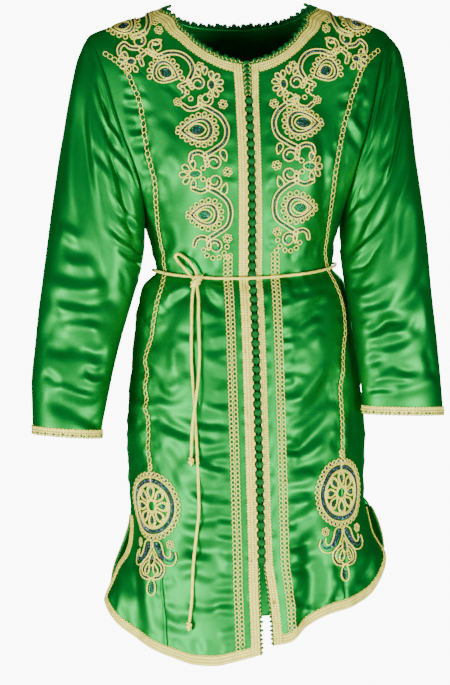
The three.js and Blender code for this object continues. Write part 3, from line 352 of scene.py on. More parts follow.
def catmull(points, steps=120):
    """A centripetal Catmull-Rom curve through the points."""
    p = np.asarray(points, float)
    p = np.vstack([2 * p[0] - p[1], p, 2 * p[-1] - p[-2]])
    count = len(p) - 3
    out = []
    for s in np.linspace(0, count, steps + 1):
        i = min(int(s), count - 1)
        w = s - i
        a, b, c, d = p[i : i + 4]
        t0 = max(np.linalg.norm(b - a) ** 0.5, 1e-4)
        t1 = max(np.linalg.norm(c - b) ** 0.5, 1e-4)
        t2 = max(np.linalg.norm(d - c) ** 0.5, 1e-4)
        m1 = ((b - a) / t0 - (c - a) / (t0 + t1) + (c - b) / t1) * t1
        m2 = ((c - b) / t1 - (d - b) / (t1 + t2) + (d - c) / t2) * t1
        out.append(
            b + m1 * w + (-3 * b + 3 * c - 2 * m1 - m2) * w**2 + (2 * b - 2 * c + m1 + m2) * w**3
        )
    return np.array(out)


def seam_curve(side, points):
    """The same curve as the solids' seam: angles count double while it is drawn."""
    drawn = catmull([(2 * a, z) for a, z in points])
    return Walk(side, np.stack([drawn[:, 0] / 2, drawn[:, 1]], -1))


def heights(start, end, step):
    return np.linspace(start, end, max(1, round(abs(end - start) / step)) + 1)


def rows_along(curve, breaks, counts):
    distances = [np.linspace(breaks[n], breaks[n + 1], c, endpoint=False) for n, c in enumerate(counts)]
    return curve.at(np.concatenate([*distances, [breaks[len(counts)]]]))


def spot_near(side, points, behind):
    """The spots of the body level with points in space."""
    angle = np.full(points.shape[:-1], 135.0 if behind else 45.0)
    z = points[..., 2]
    for _ in range(5):
        depth = look_up(BODY, "back" if behind else "front", height_in_table(angle, z))
        across = np.maximum(0, side * points[..., 0]) / half_width(side, angle, z)
        angle = np.degrees(np.arctan2(across, -points[..., 1] / depth))
        angle = np.maximum(90, angle) if behind else np.minimum(90, angle)
    return np.stack([angle, z], -1)


# The flattened cloth: its table of lengths round the body, and a first guess at millimetres a degree
ARC_STEP = 5
ARC_LOW = -960
ARC_ANGLES = np.arange(0, 181.0)
MM_PER_DEGREE = 2.4
ARC_HEIGHTS = np.arange(ARC_LOW, 61.0, ARC_STEP)


def arc_table(side):
    """Length round the body from the middle of the front, at each height and angle."""
    return run_lengths(smooth_body(side, ARC_ANGLES[None, :], ARC_HEIGHTS[:, None]), 1)


ARC = {side: arc_table(side) for side in SIDES}


def sample(grid, row, column):
    """Value of a grid between its points."""
    row = np.clip(row, 0, grid.shape[0] - 1.001)
    column = np.clip(column, 0, grid.shape[1] - 1.001)
    r, c = row.astype(int), column.astype(int)
    tr, tc = row - r, column - c
    low = grid[r, c] * (1 - tc) + grid[r, c + 1] * tc
    high = grid[r + 1, c] * (1 - tc) + grid[r + 1, c + 1] * tc
    return low * (1 - tr) + high * tr


def arc_at(side, angle, z):
    angle, z = np.broadcast_arrays(np.asarray(angle, float), np.asarray(z, float))
    return sample(ARC[side], (z - ARC_LOW) / ARC_STEP, angle)


def angle_of_arc(side, length, z):
    """The angle that lies a length round from the middle of the front."""
    angle = np.asarray(length, float) / MM_PER_DEGREE
    for _ in range(6):
        slope = (arc_at(side, angle + 1, z) - arc_at(side, angle - 1, z)) / 2
        angle = np.clip(angle + (length - arc_at(side, angle, z)) / np.maximum(slope, 0.5), 0.001, 179.9)
    return angle


class Field:
    """Heights on a flat grid. Creases are drawn into it, and it is read anywhere."""

    STEP = 1.5

    def __init__(self, low, high):
        self.low = np.array(low, float)
        count = np.ceil((np.array(high) - self.low) / self.STEP).astype(int) + 1
        self.grid = np.zeros(count)

    def at(self, u, v):
        return sample(self.grid, (u - self.low[0]) / self.STEP, (v - self.low[1]) / self.STEP)

    def draw(self, points, wide, deep, rest=0.4, sharp=1.5):
        """A ridge (or a trough, where deep is negative) along a curve, with a softer one of the other
        sign beside it. rest is how deep that is."""
        line = catmull(points, 5 * (len(points) - 1)) if len(points) > 2 else np.array(points, float)
        reach = 3.6 * wide
        first = np.floor((line.min(axis=0) - reach - self.low) / self.STEP).astype(int)
        last = np.ceil((line.max(axis=0) + reach - self.low) / self.STEP).astype(int)
        first = np.clip(first, 0, np.array(self.grid.shape) - 1)
        last = np.clip(last, 0, np.array(self.grid.shape) - 1)
        u = self.low[0] + self.STEP * np.arange(first[0], last[0] + 1)[:, None]
        v = self.low[1] + self.STEP * np.arange(first[1], last[1] + 1)[None, :]
        nearest = np.full((u.shape[0], v.shape[1]), 1e9)
        signed = np.zeros_like(nearest)
        share = np.zeros_like(nearest)
        lengths = np.linalg.norm(np.diff(line, axis=0), axis=1)
        total = lengths.sum()
        walked = 0
        for (au, av), (bu, bv), length in zip(line[:-1], line[1:], lengths):
            du, dv = (bu - au) / length, (bv - av) / length
            along = (u - au) * du + (v - av) * dv
            across = (u - au) * dv - (v - av) * du
            over = along - np.clip(along, 0, length)
            away = np.hypot(over, across)
            closer = away < nearest
            nearest = np.where(closer, away, nearest)
            signed = np.where(closer, np.copysign(away, across), signed)
            share = np.where(closer, (walked + np.clip(along, 0, length)) / total, share)
            walked += length
        taper = ease(share / 0.28 + 0.12) * ease((1 - share) / 0.34 + 0.1)
        crest = np.exp(-((np.sqrt(signed**2 + (0.3 * wide) ** 2) / wide - 0.3) ** sharp))
        beside = np.exp(-(((signed - 1.7 * wide) / (1.1 * wide)) ** 2))
        window = self.grid[first[0] : last[0] + 1, first[1] : last[1] + 1]
        window += deep * taper * (crest - rest * beside)


FRONT_FIELD = Field((-300, -950), (300, 40))
BACK_FIELD = Field((-300, -950), (300, 40))


def body_creases(side, angle, z):
    """Height of the fine creases, which are drawn on the flattened front and the flattened back."""
    side = np.asarray(side)
    one = np.where(side < 0, arc_at(RIGHT, angle, z), arc_at(LEFT, angle, z))
    whole = np.where(side < 0, arc_at(RIGHT, 180, z), arc_at(LEFT, 180, z))
    return FRONT_FIELD.at(side * one, z) + BACK_FIELD.at(side * (whole - one), z)


def view_spot(x, z, behind=False):
    """A place of the front or back view, on the flattened cloth."""
    side = RIGHT if x < 0 else LEFT
    angle = angle_at(side, abs(x), z, behind)
    one = float(arc_at(side, angle, z))
    if behind:
        one = float(arc_at(side, 180, z)) - one
    return side * one, z


class Panel:
    """A four-edged panel as rows of spots. A place on it is a row and a distance from its start."""

    def __init__(self, side, behind, starts, ends, bottom, top):
        self.side = side
        samples = 60
        u = np.linspace(0, 1, samples + 1)[None, :, None]
        place = lambda spots: smooth_body(side, spots[..., 0], spots[..., 1])
        chord = lambda a, b: a[:, None] + (b - a)[:, None] * u
        first, last = place(starts), place(ends)
        bend_low = place(bottom.at(bottom.total * u[0, :, 0])) - chord(first[:1], last[:1])
        bend_high = place(top.at(top.total * u[0, :, 0])) - chord(first[-1:], last[-1:])
        rise = clamp((starts[:, 1] - starts[0, 1]) / (starts[-1, 1] - starts[0, 1]))[:, None, None]
        points = chord(first, last) + bend_low * (1 - rise) ** 3 + bend_high * rise**3
        self.spots = spot_near(side, points, behind)
        self.spots[:, 0], self.spots[:, -1] = starts, ends
        strand_shade_and_tone = body_point(side, self.spots[..., 0], self.spots[..., 1], creases=False)
        self.lengths = run_lengths(strand_shade_and_tone, 1)

    def row(self, r, place):
        low = min(int(r), len(self.spots) - 2)
        spots = self.spots[low] + (self.spots[low + 1] - self.spots[low]) * (r - low)
        lengths = self.lengths[low] + (self.lengths[low + 1] - self.lengths[low]) * (r - low)
        return between(place(lengths[-1]), lengths, spots)

    def grid(self, at_rows, place):
        return np.array([self.row(r, place) for r in at_rows])


# Fine rows of each panel between its break heights: hem braid, slit top, hip, waist and upward
FINE_LOWER = [4, 60, 108, 8]
FINE_BUST = 104
FINE_CENTRE_TOP = [3, 8, 18, 4]
FINE_SIDE = [26, 78]
FINE_BACK_UPPER = [22, 70, 26, 4]
EDGE_BREAKS = (-150, -141, -132)
BACK_ARM_ROW = -85
HEM_GUESS = -895


def lower_breaks(curve, dip):
    return [
        0,
        HEM_BRAID_WIDE,
        curve.where_height(SLIT_TOP),
        curve.where_height(WAIST - HIP_SIDE_OF_WAIST - dip),
        curve.where_height(WAIST - dip),
    ]


def shoulder_line(side):
    z = heights(SHOULDER_POINT, SIDE_NECK, 3)
    return Walk(side, np.stack([np.full(len(z), 90.0), z], -1))


def side_line(side, hem_corner, corner_angle):
    z = heights(hem_corner, UNDERARM, 6)
    lean = np.clip((z - SLIT_TOP) / (hem_corner - SLIT_TOP), 0, 1)
    return Walk(side, np.stack([90 + (corner_angle - 90) * lean, z], -1))


def side_rows(seam, upper):
    return rows_along(seam, [*lower_breaks(seam, 0), seam.total], [*FINE_LOWER, upper])


def shoulder_rows(shoulder, fine):
    """Rows over the shoulder seam, the last of them under the neck braid."""
    return rows_along(shoulder, [0, shoulder.total - BRAID_WIDE, shoulder.total], fine[2:])[1:]


def front_half(side):
    """The centre front and the side front, and their armhole."""
    edge_at = lambda z: angle_at(side, by_side(side, FRONT_EDGE, "", z), z)
    princess_at = lambda z: angle_at(side, by_side(side, PRINCESS, "", z), z)
    hem_at = lambda angle: by_side(side, HEM_FRONT, "", angle)
    edge_foot, princess_foot = float(edge_at(HEM_GUESS)), float(princess_at(HEM_GUESS))

    def hem_line(start, end):
        angle = heights(start, end, 3)
        return Walk(side, np.stack([angle, hem_at(angle)], -1))

    def line(z, angle_of):
        return Walk(side, np.stack([angle_of(z), z], -1))

    last = len(NECK_FRONT) - 1
    neck = seam_curve(
        side, [(90 if i == last else float(angle_at(side, x, z)), z) for i, (x, z) in enumerate(NECK_FRONT)]
    )
    shoulder = shoulder_line(side)
    armhole = seam_curve(side, ARMHOLE_FRONT)
    tip = armhole.where_height(TIP_ON_ARMHOLE)
    edge = line(heights(float(hem_at(edge_foot)), NECK_FRONT[0][1], 6), edge_at)
    princess = line(heights(float(hem_at(princess_foot)), TIP_ON_PRINCESS, 5), princess_at)
    side_seam = side_line(side, float(hem_at(SLIT_CORNER_FRONT)), SLIT_CORNER_FRONT)

    on_edge = [edge.where_height(z) for z in EDGE_BREAKS]
    starts = rows_along(
        edge,
        [*lower_breaks(edge, WAIST_DIP), *on_edge, edge.total - BRAID_WIDE, edge.total],
        [*FINE_LOWER, FINE_BUST, *FINE_CENTRE_TOP],
    )
    princess_rows = rows_along(
        princess, [*lower_breaks(princess, 3), princess.total], [*FINE_LOWER, FINE_BUST]
    )
    tip_rows = Walk(side, [princess_rows[-1], armhole.at(tip)])
    over_tip = rows_along(tip_rows, [0, tip_rows.total], [FINE_CENTRE_TOP[0]])[1:]
    over_arm = rows_along(armhole, [tip, 0], [FINE_CENTRE_TOP[1]])[1:]
    over_shoulder = shoulder_rows(shoulder, FINE_CENTRE_TOP)
    ends = np.concatenate([princess_rows, over_tip, over_arm, over_shoulder])
    sides = np.concatenate(
        [
            side_rows(side_seam, FINE_SIDE[0]),
            rows_along(armhole, [armhole.total, tip], [FINE_SIDE[1]])[1:],
        ]
    )
    centre = Panel(side, False, starts, ends, hem_line(edge_foot, princess_foot), neck)
    flank = Panel(side, False, princess_rows, sides, hem_line(princess_foot, SLIT_CORNER_FRONT), tip_rows)
    return centre, flank, armhole, tip


def back_half(side):
    hem_at = lambda angle: by_side(side, HEM_BACK, "", angle)
    angle = heights(180, SLIT_CORNER_BACK, 3)
    hem = Walk(side, np.stack([angle, hem_at(angle)], -1))
    neck_points = [
        (90 if i == 0 else float(angle_at(side, x, z, True)), z) for i, (x, z) in enumerate(NECK_BACK)
    ]
    neck = seam_curve(side, neck_points[::-1])
    shoulder = shoulder_line(side)
    armhole = seam_curve(side, ARMHOLE_BACK)
    z = heights(float(hem_at(180)), NECK_BACK[-1][1], 6)
    middle = Walk(side, np.stack([np.full(len(z), 180.0), z], -1))
    side_seam = side_line(side, float(hem_at(SLIT_CORNER_BACK)), SLIT_CORNER_BACK)
    on_middle = [middle.where_height(z) for z in (UNDERARM, BACK_ARM_ROW)]
    starts = rows_along(
        middle,
        [*lower_breaks(middle, 0), *on_middle, middle.total - BRAID_WIDE, middle.total],
        [*FINE_LOWER, *FINE_BACK_UPPER],
    )
    ends = np.concatenate(
        [
            side_rows(side_seam, FINE_BACK_UPPER[0]),
            rows_along(armhole, [0, armhole.total], [FINE_BACK_UPPER[1]])[1:],
            shoulder_rows(shoulder, FINE_BACK_UPPER),
        ]
    )
    return Panel(side, True, starts, ends, hem, neck), armhole


# Corners of a sleeve's rings in the solids, steps a degree round its armhole, and the rows of the
# sleeve's table over which the armhole's own shape fades
ARMHOLE_CORNERS = 14
TURNS_PER_DEGREE = 2
ARMHOLE_FADE = 3.2


class Sleeve:
    """A sleeve from its armhole to its cuff, by a row of its table and a turn round it."""

    def __init__(self, side, front, tip, back):
        self.side = side
        self.table = SLEEVE_ROWS[side]
        self.field = Field((-80, -20), (440, 640))
        turn = np.linspace(0, 360, 360 * TURNS_PER_DEGREE + 1)
        corner = turn / (360 / ARMHOLE_CORNERS)
        under = ARMHOLE_CORNERS / 2
        on_front = np.interp(corner, [0, 1, under], [0, tip, front.total])
        on_back = (corner - under) / under * back.total
        front_part = front.at(on_front)
        back_part = back.at(np.clip(on_back, 0, back.total))
        spots = np.where((corner <= under)[:, None], front_part, back_part)
        strand_shade_and_tone = body_point(side, spots[:, 0], spots[:, 1], creases=False)
        self.armhole = strand_shade_and_tone - self.ellipse(np.zeros(len(turn)), turn)

    def ellipse(self, at, turn):
        column = lambda name: look_up(self.table, name, at)
        out_x, out_z, in_x, in_z = (column(name) for name in ("outX", "outZ", "inX", "inZ"))
        lean, forward = np.cos(np.radians(turn)), np.sin(np.radians(turn))
        x = self.side * ((out_x + in_x) / 2 + lean * (out_x - in_x) / 2)
        y = column("mid") - column("depth") * forward
        z = (out_z + in_z) / 2 + lean * (out_z - in_z) / 2
        return np.stack([x, y, z], -1)

    def base(self, at, turn):
        whole = np.mod(turn, 360)
        place = whole * TURNS_PER_DEGREE
        low = np.minimum(place.astype(int), 360 * TURNS_PER_DEGREE - 1)
        share = (place - low)[..., None]
        offset = self.armhole[low] * (1 - share) + self.armhole[low + 1] * share
        fade = (1 - ease(at / ARMHOLE_FADE)) ** 1.5
        return self.ellipse(at, whole) + offset * fade[..., None]

    def normal(self, at, turn):
        along = self.base(np.minimum(10, at + 0.1), turn) - self.base(np.maximum(0, at - 0.1), turn)
        around = self.base(at, turn + 3) - self.base(at, turn - 3)
        return unit(np.cross(along, around) * -self.side)

    def point(self, at, turn, out=0.0):
        at, turn = np.broadcast_arrays(np.asarray(at, float), np.asarray(turn, float))
        whole = np.mod(turn, 360)
        folds = fold_height(SLEEVE_FOLDS_MM[self.side], whole, at * SLEEVE_STEP)
        height = (folds + self.field.at(whole, at * SLEEVE_STEP)) * ease((at - 0.05) / 0.5) + out
        return self.base(at, turn) + self.normal(at, turn) * height[..., None]


# Creases. Those of the front and the sleeves are placed where they stand in the view from the camera.

# How much wider those are drawn than they are listed
SOFTER = 1.35


def camera_axes():
    """The camera's place and directions, in millimetres."""
    turn = math.radians(CAMERA_AZIMUTH)
    toward = Vector((math.sin(turn), -math.cos(turn), 0))
    across = Vector((math.cos(turn), math.sin(turn), 0))
    eye = toward * CAMERA_FAR + Vector((0, 0, CAMERA_HEIGHT))
    beside = (IMAGE_WIDE / 2 - AXIS_PIXEL[0]) * MM_PER_PIXEL
    below = (IMAGE_HIGH / 2 - AXIS_PIXEL[1]) * MM_PER_PIXEL
    aim = across * beside + Vector((0, 0, CAMERA_HEIGHT - below))
    forward = (aim - eye).normalized()
    right = forward.cross(Vector((0, 0, 1))).normalized()
    up = right.cross(forward)
    roll = math.radians(CAMERA_ROLL)
    up = up * math.cos(roll) + right * math.sin(roll)
    return eye, forward.cross(up), up, forward


def seen_at(points):
    """Where points in space stand in the picture."""
    eye, right, up, forward = (np.array(v) for v in camera_axes())
    offset = points - eye
    scale = CAMERA_FAR / MM_PER_PIXEL / (offset @ forward)
    return np.stack([IMAGE_WIDE / 2 + offset @ right * scale, IMAGE_HIGH / 2 - offset @ up * scale], -1)


class Sight:
    """Finds the place of a surface that stands at a point of the picture."""

    def __init__(self, places, points):
        self.places = places.reshape(-1, 2)
        self.seen = seen_at(points).reshape(-1, 2)

    def __call__(self, spot):
        away = np.hypot(*(self.seen - spot).T)
        near = np.argsort(away)[:4]
        share = 1 / (away[near] + 0.1)
        return (self.places[near] * share[:, None]).sum(axis=0) / share.sum()


def front_sight():
    angle, z = np.meshgrid(np.arange(0, 91.0, 1.0), np.arange(-925, 20.0, 4.0))
    places, points = [], []
    for side in SIDES:
        places.append(np.stack([side * arc_at(side, angle, z), z], -1))
        points.append(body_point(side, angle, z, creases=False))
    return Sight(np.array(places), np.array(points))


def sleeve_sight(sleeve):
    at, turn = np.meshgrid(np.arange(0, 10.01, 0.06), np.arange(-12, 193.0, 1.5))
    return Sight(np.stack([turn, at * SLEEVE_STEP], -1), sleeve.base(at, turn))


def draw_creases(draw, sight, creases):
    for wide, deep, *spots in creases:
        draw([sight(spot) for spot in spots], SOFTER * wide, deep)


# Each crease: its width and height (a trough is below 0), then the spots it runs through
FRONT_CREASES = (
    # Between the chain and the armhole, and over the bust
    (3.4, -1.8, (124, 93), (131, 95), (139, 93)), (3.2, 1.4, (123, 99), (131, 101), (141, 100)),
    (3.6, -2.0, (124, 106), (133, 109), (143, 106)), (3.4, -1.7, (126, 117), (135, 121), (146, 118)),
    (4.2, -2.2, (127, 131), (137, 128), (148, 124)), (3.6, 1.6, (129, 138), (140, 137), (149, 134)),
    (4.4, -1.9, (131, 149), (141, 147), (150, 143)), (5.0, -2.0, (136, 186), (141, 205), (147, 232)),
    (5.0, 1.9, (141, 184), (147, 205), (151, 228)), (6.0, -1.8, (160, 116), (172, 124), (178, 138)),
    (6.0, 1.7, (164, 152), (176, 163), (182, 176)), (5.0, -1.4, (160, 172), (166, 190), (170, 214)),
    (5.5, -1.8, (158, 205), (161, 226), (166, 248)), (5.0, 1.5, (172, 222), (176, 240), (180, 262)),
    (3.4, -1.4, (166, 84), (176, 92), (182, 104)), (4.4, -1.6, (186, 76), (181, 92), (183, 108)),
    (4.0, -1.7, (356, 92), (349, 99), (338, 102)), (4.0, 1.6, (360, 101), (351, 107), (338, 112)),
    (4.6, -2.3, (366, 100), (362, 112), (360, 122)), (3.4, -1.6, (354, 112), (358, 120), (366, 126)),
    (4.4, 1.8, (350, 118), (357, 128), (364, 140)), (4.2, -1.8, (346, 132), (355, 141), (363, 152)),
    (6.0, -2.2, (342, 168), (337, 190), (336, 214)), (6.0, 2.0, (332, 150), (329, 176), (330, 206)),
    (6.5, -2.2, (318, 128), (322, 152), (321, 178)), (5.5, 1.6, (308, 118), (311, 142), (309, 168)),
    (5.0, -1.8, (322, 196), (326, 216), (329, 238)), (5.0, 1.6, (310, 206), (318, 224), (324, 246)),
    # Drawn in by the belt, above and below it
    (3.8, -2.0, (160, 266), (163, 254), (168, 240)), (3.6, 1.7, (168, 268), (172, 256), (175, 244)),
    (3.6, -1.8, (178, 268), (181, 258), (182, 247)), (3.8, 1.6, (187, 268), (190, 257), (194, 246)),
    (3.6, -1.7, (212, 268), (214, 258), (213, 248)), (3.6, -1.7, (290, 262), (293, 252), (292, 242)),
    (3.8, 1.6, (302, 260), (305, 248), (309, 238)), (3.6, -1.8, (312, 258), (315, 248), (320, 236)),
    (3.8, -2.2, (165, 278), (163, 292), (159, 306)), (3.6, 1.7, (173, 279), (170, 293), (167, 309)),
    (4.4, -2.6, (194, 285), (183, 296), (171, 303), (158, 317)),
    (4.0, 2.0, (190, 281), (180, 290), (168, 297)),
    (4.4, -2.4, (202, 287), (208, 300), (216, 309), (227, 317)),
    (4.0, 1.8, (206, 283), (214, 293), (226, 301)),
    (3.8, -1.8, (212, 279), (220, 284), (229, 287)), (4.4, -2.3, (288, 270), (292, 285), (300, 300)),
    (4.0, 1.8, (300, 268), (304, 281), (312, 294)), (4.6, -2.2, (318, 266), (322, 282), (320, 300)),
    (5.0, -2.5, (328, 299), (313, 308), (298, 312), (284, 322)),
    (5.0, 2.0, (330, 292), (312, 299), (296, 303)),
    (4.6, -2.0, (326, 311), (306, 322), (290, 334)), (4.4, 1.8, (322, 318), (306, 328), (294, 340)),
    # Skirt, wearer's right
    (6.5, -2.8, (138, 364), (147, 376), (156, 386), (170, 392)),
    (6.0, 2.4, (136, 352), (150, 364), (164, 374)),
    (6.0, -3.0, (128, 392), (142, 399), (158, 396), (172, 400), (186, 390)),
    (5.5, 2.4, (130, 402), (146, 409), (164, 407), (182, 404)),
    (5.0, 2.2, (158, 385), (172, 389), (184, 380)),
    (7.0, -2.6, (181, 345), (186, 362), (184, 380)), (6.0, 2.0, (172, 342), (175, 360), (172, 376)),
    (5.0, 2.6, (162, 412), (176, 420), (194, 427), (226, 431)),
    (5.0, -2.6, (160, 420), (174, 429), (192, 436)),
    (5.0, -2.6, (196, 420), (210, 424), (228, 420)), (4.6, 2.0, (196, 441), (212, 446), (230, 441)),
    (5.5, -2.6, (186, 446), (198, 456), (214, 464), (232, 470)),
    (4.8, 2.2, (190, 458), (206, 469), (230, 478)),
    (5.0, -2.4, (188, 484), (200, 492), (214, 493), (231, 486)),
    (5.0, 1.9, (186, 494), (202, 502), (226, 500)),
    (5.0, -2.4, (178, 518), (192, 523), (208, 520), (228, 524)),
    (4.6, 1.8, (184, 509), (200, 513), (222, 510)),
    (5.2, -2.4, (184, 546), (200, 552), (228, 545)), (5.0, 1.8, (180, 534), (196, 538), (220, 536)),
    (5.4, -2.2, (176, 578), (192, 572), (208, 576), (228, 570)),
    (5.0, 1.8, (172, 566), (190, 561), (212, 563)),
    (5.0, -2.2, (184, 598), (202, 606), (226, 600)), (5.6, -2.2, (162, 616), (176, 626), (196, 628)),
    (5.0, 1.8, (160, 604), (178, 612), (200, 616)), (7.0, -3.0, (129, 556), (132, 576), (137, 600)),
    (6.0, 2.2, (141, 562), (144, 586), (150, 612)), (6.4, -2.2, (152, 590), (158, 612), (166, 636)),
    (6.4, -2.4, (136, 420), (146, 432), (152, 446)), (5.6, 2.0, (133, 436), (142, 450), (150, 456)),
    (6.0, -2.0, (165, 440), (176, 452), (182, 468)), (5.0, -1.8, (176, 330), (190, 334), (206, 330)),
    (5.0, -2.2, (206, 346), (216, 352), (230, 349)), (4.4, -1.9, (140, 318), (147, 326), (152, 338)),
    # Skirt, wearer's left
    (6.5, -3.0, (334, 370), (318, 396), (303, 412), (284, 427)),
    (6.0, 2.5, (330, 360), (312, 384), (288, 408)),
    (6.5, -2.8, (334, 414), (315, 435), (298, 448), (280, 456)),
    (6.0, 2.3, (330, 403), (310, 424), (282, 440)),
    (6.0, -2.6, (332, 448), (314, 462), (296, 470), (279, 478)),
    (5.6, 2.0, (326, 440), (306, 456), (284, 464)),
    (6.0, -2.4, (322, 482), (304, 492), (281, 498)), (5.5, 2.0, (318, 474), (300, 482), (282, 486)),
    (6.0, -2.4, (316, 508), (300, 518), (282, 520)), (5.0, 1.8, (320, 498), (302, 507), (283, 509)),
    (5.5, -2.2, (318, 536), (302, 543), (284, 541)), (6.0, -2.4, (324, 558), (306, 568), (287, 570)),
    (5.5, 1.9, (320, 549), (302, 556), (286, 556)), (7.0, -2.6, (318, 566), (316, 588), (313, 612)),
    (6.5, 2.2, (328, 564), (330, 584), (331, 604)), (6.5, -2.6, (343, 560), (344, 578), (348, 596)),
    (5.5, 2.4, (350, 584), (361, 566), (369, 550)), (5.0, -2.0, (356, 584), (367, 570), (375, 556)),
    (5.5, -2.0, (350, 330), (344, 352), (346, 372)), (6.0, 2.0, (322, 330), (312, 346), (300, 356)),
    (6.0, -2.2, (318, 342), (304, 354), (286, 364)), (5.0, -2.0, (300, 380), (290, 386), (279, 392)),
    (6.5, -2.4, (356, 396), (352, 420), (354, 444)), (5.5, 2.0, (347, 420), (345, 446), (339, 470)),
    (6.0, -2.2, (330, 486), (334, 504), (330, 522)), (5.5, -2.2, (292, 590), (300, 600), (306, 614)),
)
SLEEVE_CREASES = {
    RIGHT: (
        (7.0, -4.0, (89, 60), (83, 100), (81, 132), (85, 166), (92, 196), (98, 214)),
        (7.5, 3.4, (82, 62), (75, 110), (72, 150), (71, 190), (74, 222)),
        (6.5, 3.0, (93, 70), (90, 106), (93, 138), (99, 168)),
        (5.5, -3.6, (95, 70), (101, 96), (110, 118), (124, 136)), (5.0, 2.6, (99, 66), (106, 90), (116, 110)),
        (5.5, -3.2, (90, 78), (96, 106), (106, 130), (119, 150), (132, 166)),
        (4.6, -2.6, (104, 62), (112, 84), (122, 102)), (4.8, 2.4, (100, 104), (110, 128), (122, 146)),
        (5.0, -2.8, (106, 152), (118, 170), (132, 188)), (4.6, 2.2, (110, 148), (121, 163), (134, 178)),
        (5.0, -3.0, (106, 196), (116, 210), (130, 224), (144, 238)),
        (4.4, 2.4, (112, 196), (124, 212), (140, 228)),
        (4.6, -3.0, (106, 220), (118, 234), (132, 245), (144, 253)),
        (4.2, 2.4, (104, 230), (118, 243), (138, 254)),
        (4.6, -2.8, (114, 246), (128, 254), (142, 260)), (4.0, 2.0, (118, 256), (130, 262), (141, 265)),
        (5.0, -2.6, (94, 152), (100, 158), (108, 162)), (4.6, 2.0, (92, 160), (100, 166), (108, 172)),
        (6.5, -3.0, (60, 238), (70, 246), (84, 251), (96, 248)), (6.0, 2.4, (58, 229), (70, 236), (84, 240)),
        (6.0, 3.2, (50, 282), (66, 287), (86, 290), (106, 287), (120, 278)),
        (6.5, -3.8, (52, 298), (70, 303), (88, 305), (104, 300), (116, 292)),
        (5.5, 2.2, (56, 310), (72, 314), (92, 314)), (5.5, -2.8, (46, 322), (62, 318), (80, 317), (104, 322)),
        (5.5, 2.4, (60, 326), (80, 328), (102, 331)), (6.0, -2.4, (44, 344), (56, 350), (70, 352)),
        (5.4, 2.6, (54, 382), (66, 390), (80, 396), (94, 397)),
        (5.0, -3.4, (62, 396), (76, 403), (92, 406), (104, 400)),
        (4.4, 2.6, (80, 375), (90, 382), (98, 383), (106, 377)),
        (4.6, -2.6, (84, 366), (94, 373), (106, 369)),
        (4.6, -2.4, (42, 372), (52, 378), (62, 388)), (5.4, -2.2, (84, 344), (96, 352), (108, 350)),
        (5.0, -2.2, (120, 266), (126, 280), (124, 296)), (4.6, 2.0, (62, 262), (78, 266), (94, 264)),
    ),
    LEFT: (
        (5.5, -3.4, (393, 42), (387, 82), (378, 116), (373, 140)),
        (6.0, 3.2, (400, 68), (394, 106), (387, 132), (378, 150)),
        (6.5, -3.8, (410, 100), (402, 140), (391, 172), (376, 198), (360, 214)),
        (6.5, 3.2, (411, 150), (402, 190), (387, 217), (366, 242), (350, 256)),
        (5.0, -2.8, (405, 60), (401, 90), (394, 116)), (4.6, 2.2, (404, 84), (401, 112), (394, 138)),
        (4.6, -2.8, (367, 153), (380, 150), (392, 142)), (4.2, 2.4, (366, 159), (380, 156), (394, 149)),
        (4.6, -2.8, (365, 165), (381, 162), (398, 153)), (4.2, 2.0, (364, 171), (380, 169), (396, 162)),
        (4.8, -2.6, (361, 182), (374, 180), (388, 172)), (4.4, 2.2, (358, 190), (370, 186), (382, 178)),
        (5.6, -3.2, (350, 208), (361, 198), (376, 187)), (5.0, 2.4, (350, 216), (362, 208), (378, 198)),
        (6.0, -3.2, (352, 248), (364, 240), (381, 222), (398, 198)),
        (5.0, 2.4, (352, 262), (366, 252), (384, 232)),
        (4.8, -2.6, (349, 268), (360, 266), (374, 254)), (6.6, -2.8, (404, 206), (404, 236), (398, 262)),
        (6.6, 2.6, (414, 196), (416, 232), (414, 266)), (5.0, -2.4, (350, 286), (362, 288), (376, 280)),
        (5.0, 2.4, (356, 296), (370, 296), (386, 286), (400, 280)),
        (5.4, -2.6, (360, 306), (376, 304), (394, 294)),
        (5.0, 3.0, (360, 325), (373, 322), (385, 313), (399, 312), (412, 304)),
        (5.2, -3.8, (364, 334), (375, 331), (386, 321), (401, 323), (416, 314)),
        (4.8, 2.4, (382, 334), (394, 333), (406, 335), (418, 328)),
        (5.4, -2.6, (366, 346), (382, 345), (398, 342)),
        (5.4, 2.6, (360, 358), (376, 355), (392, 352), (409, 343), (425, 326)),
        (5.0, -3.2, (380, 374), (392, 366), (401, 369), (410, 371), (420, 367)),
        (4.6, 2.4, (372, 382), (386, 378), (400, 379), (414, 377)),
        (5.2, -2.4, (366, 391), (382, 389), (402, 391)),
        (5.6, -2.2, (424, 346), (430, 362), (432, 380)), (5.4, 2.0, (420, 286), (424, 310), (427, 332)),
    ),
}
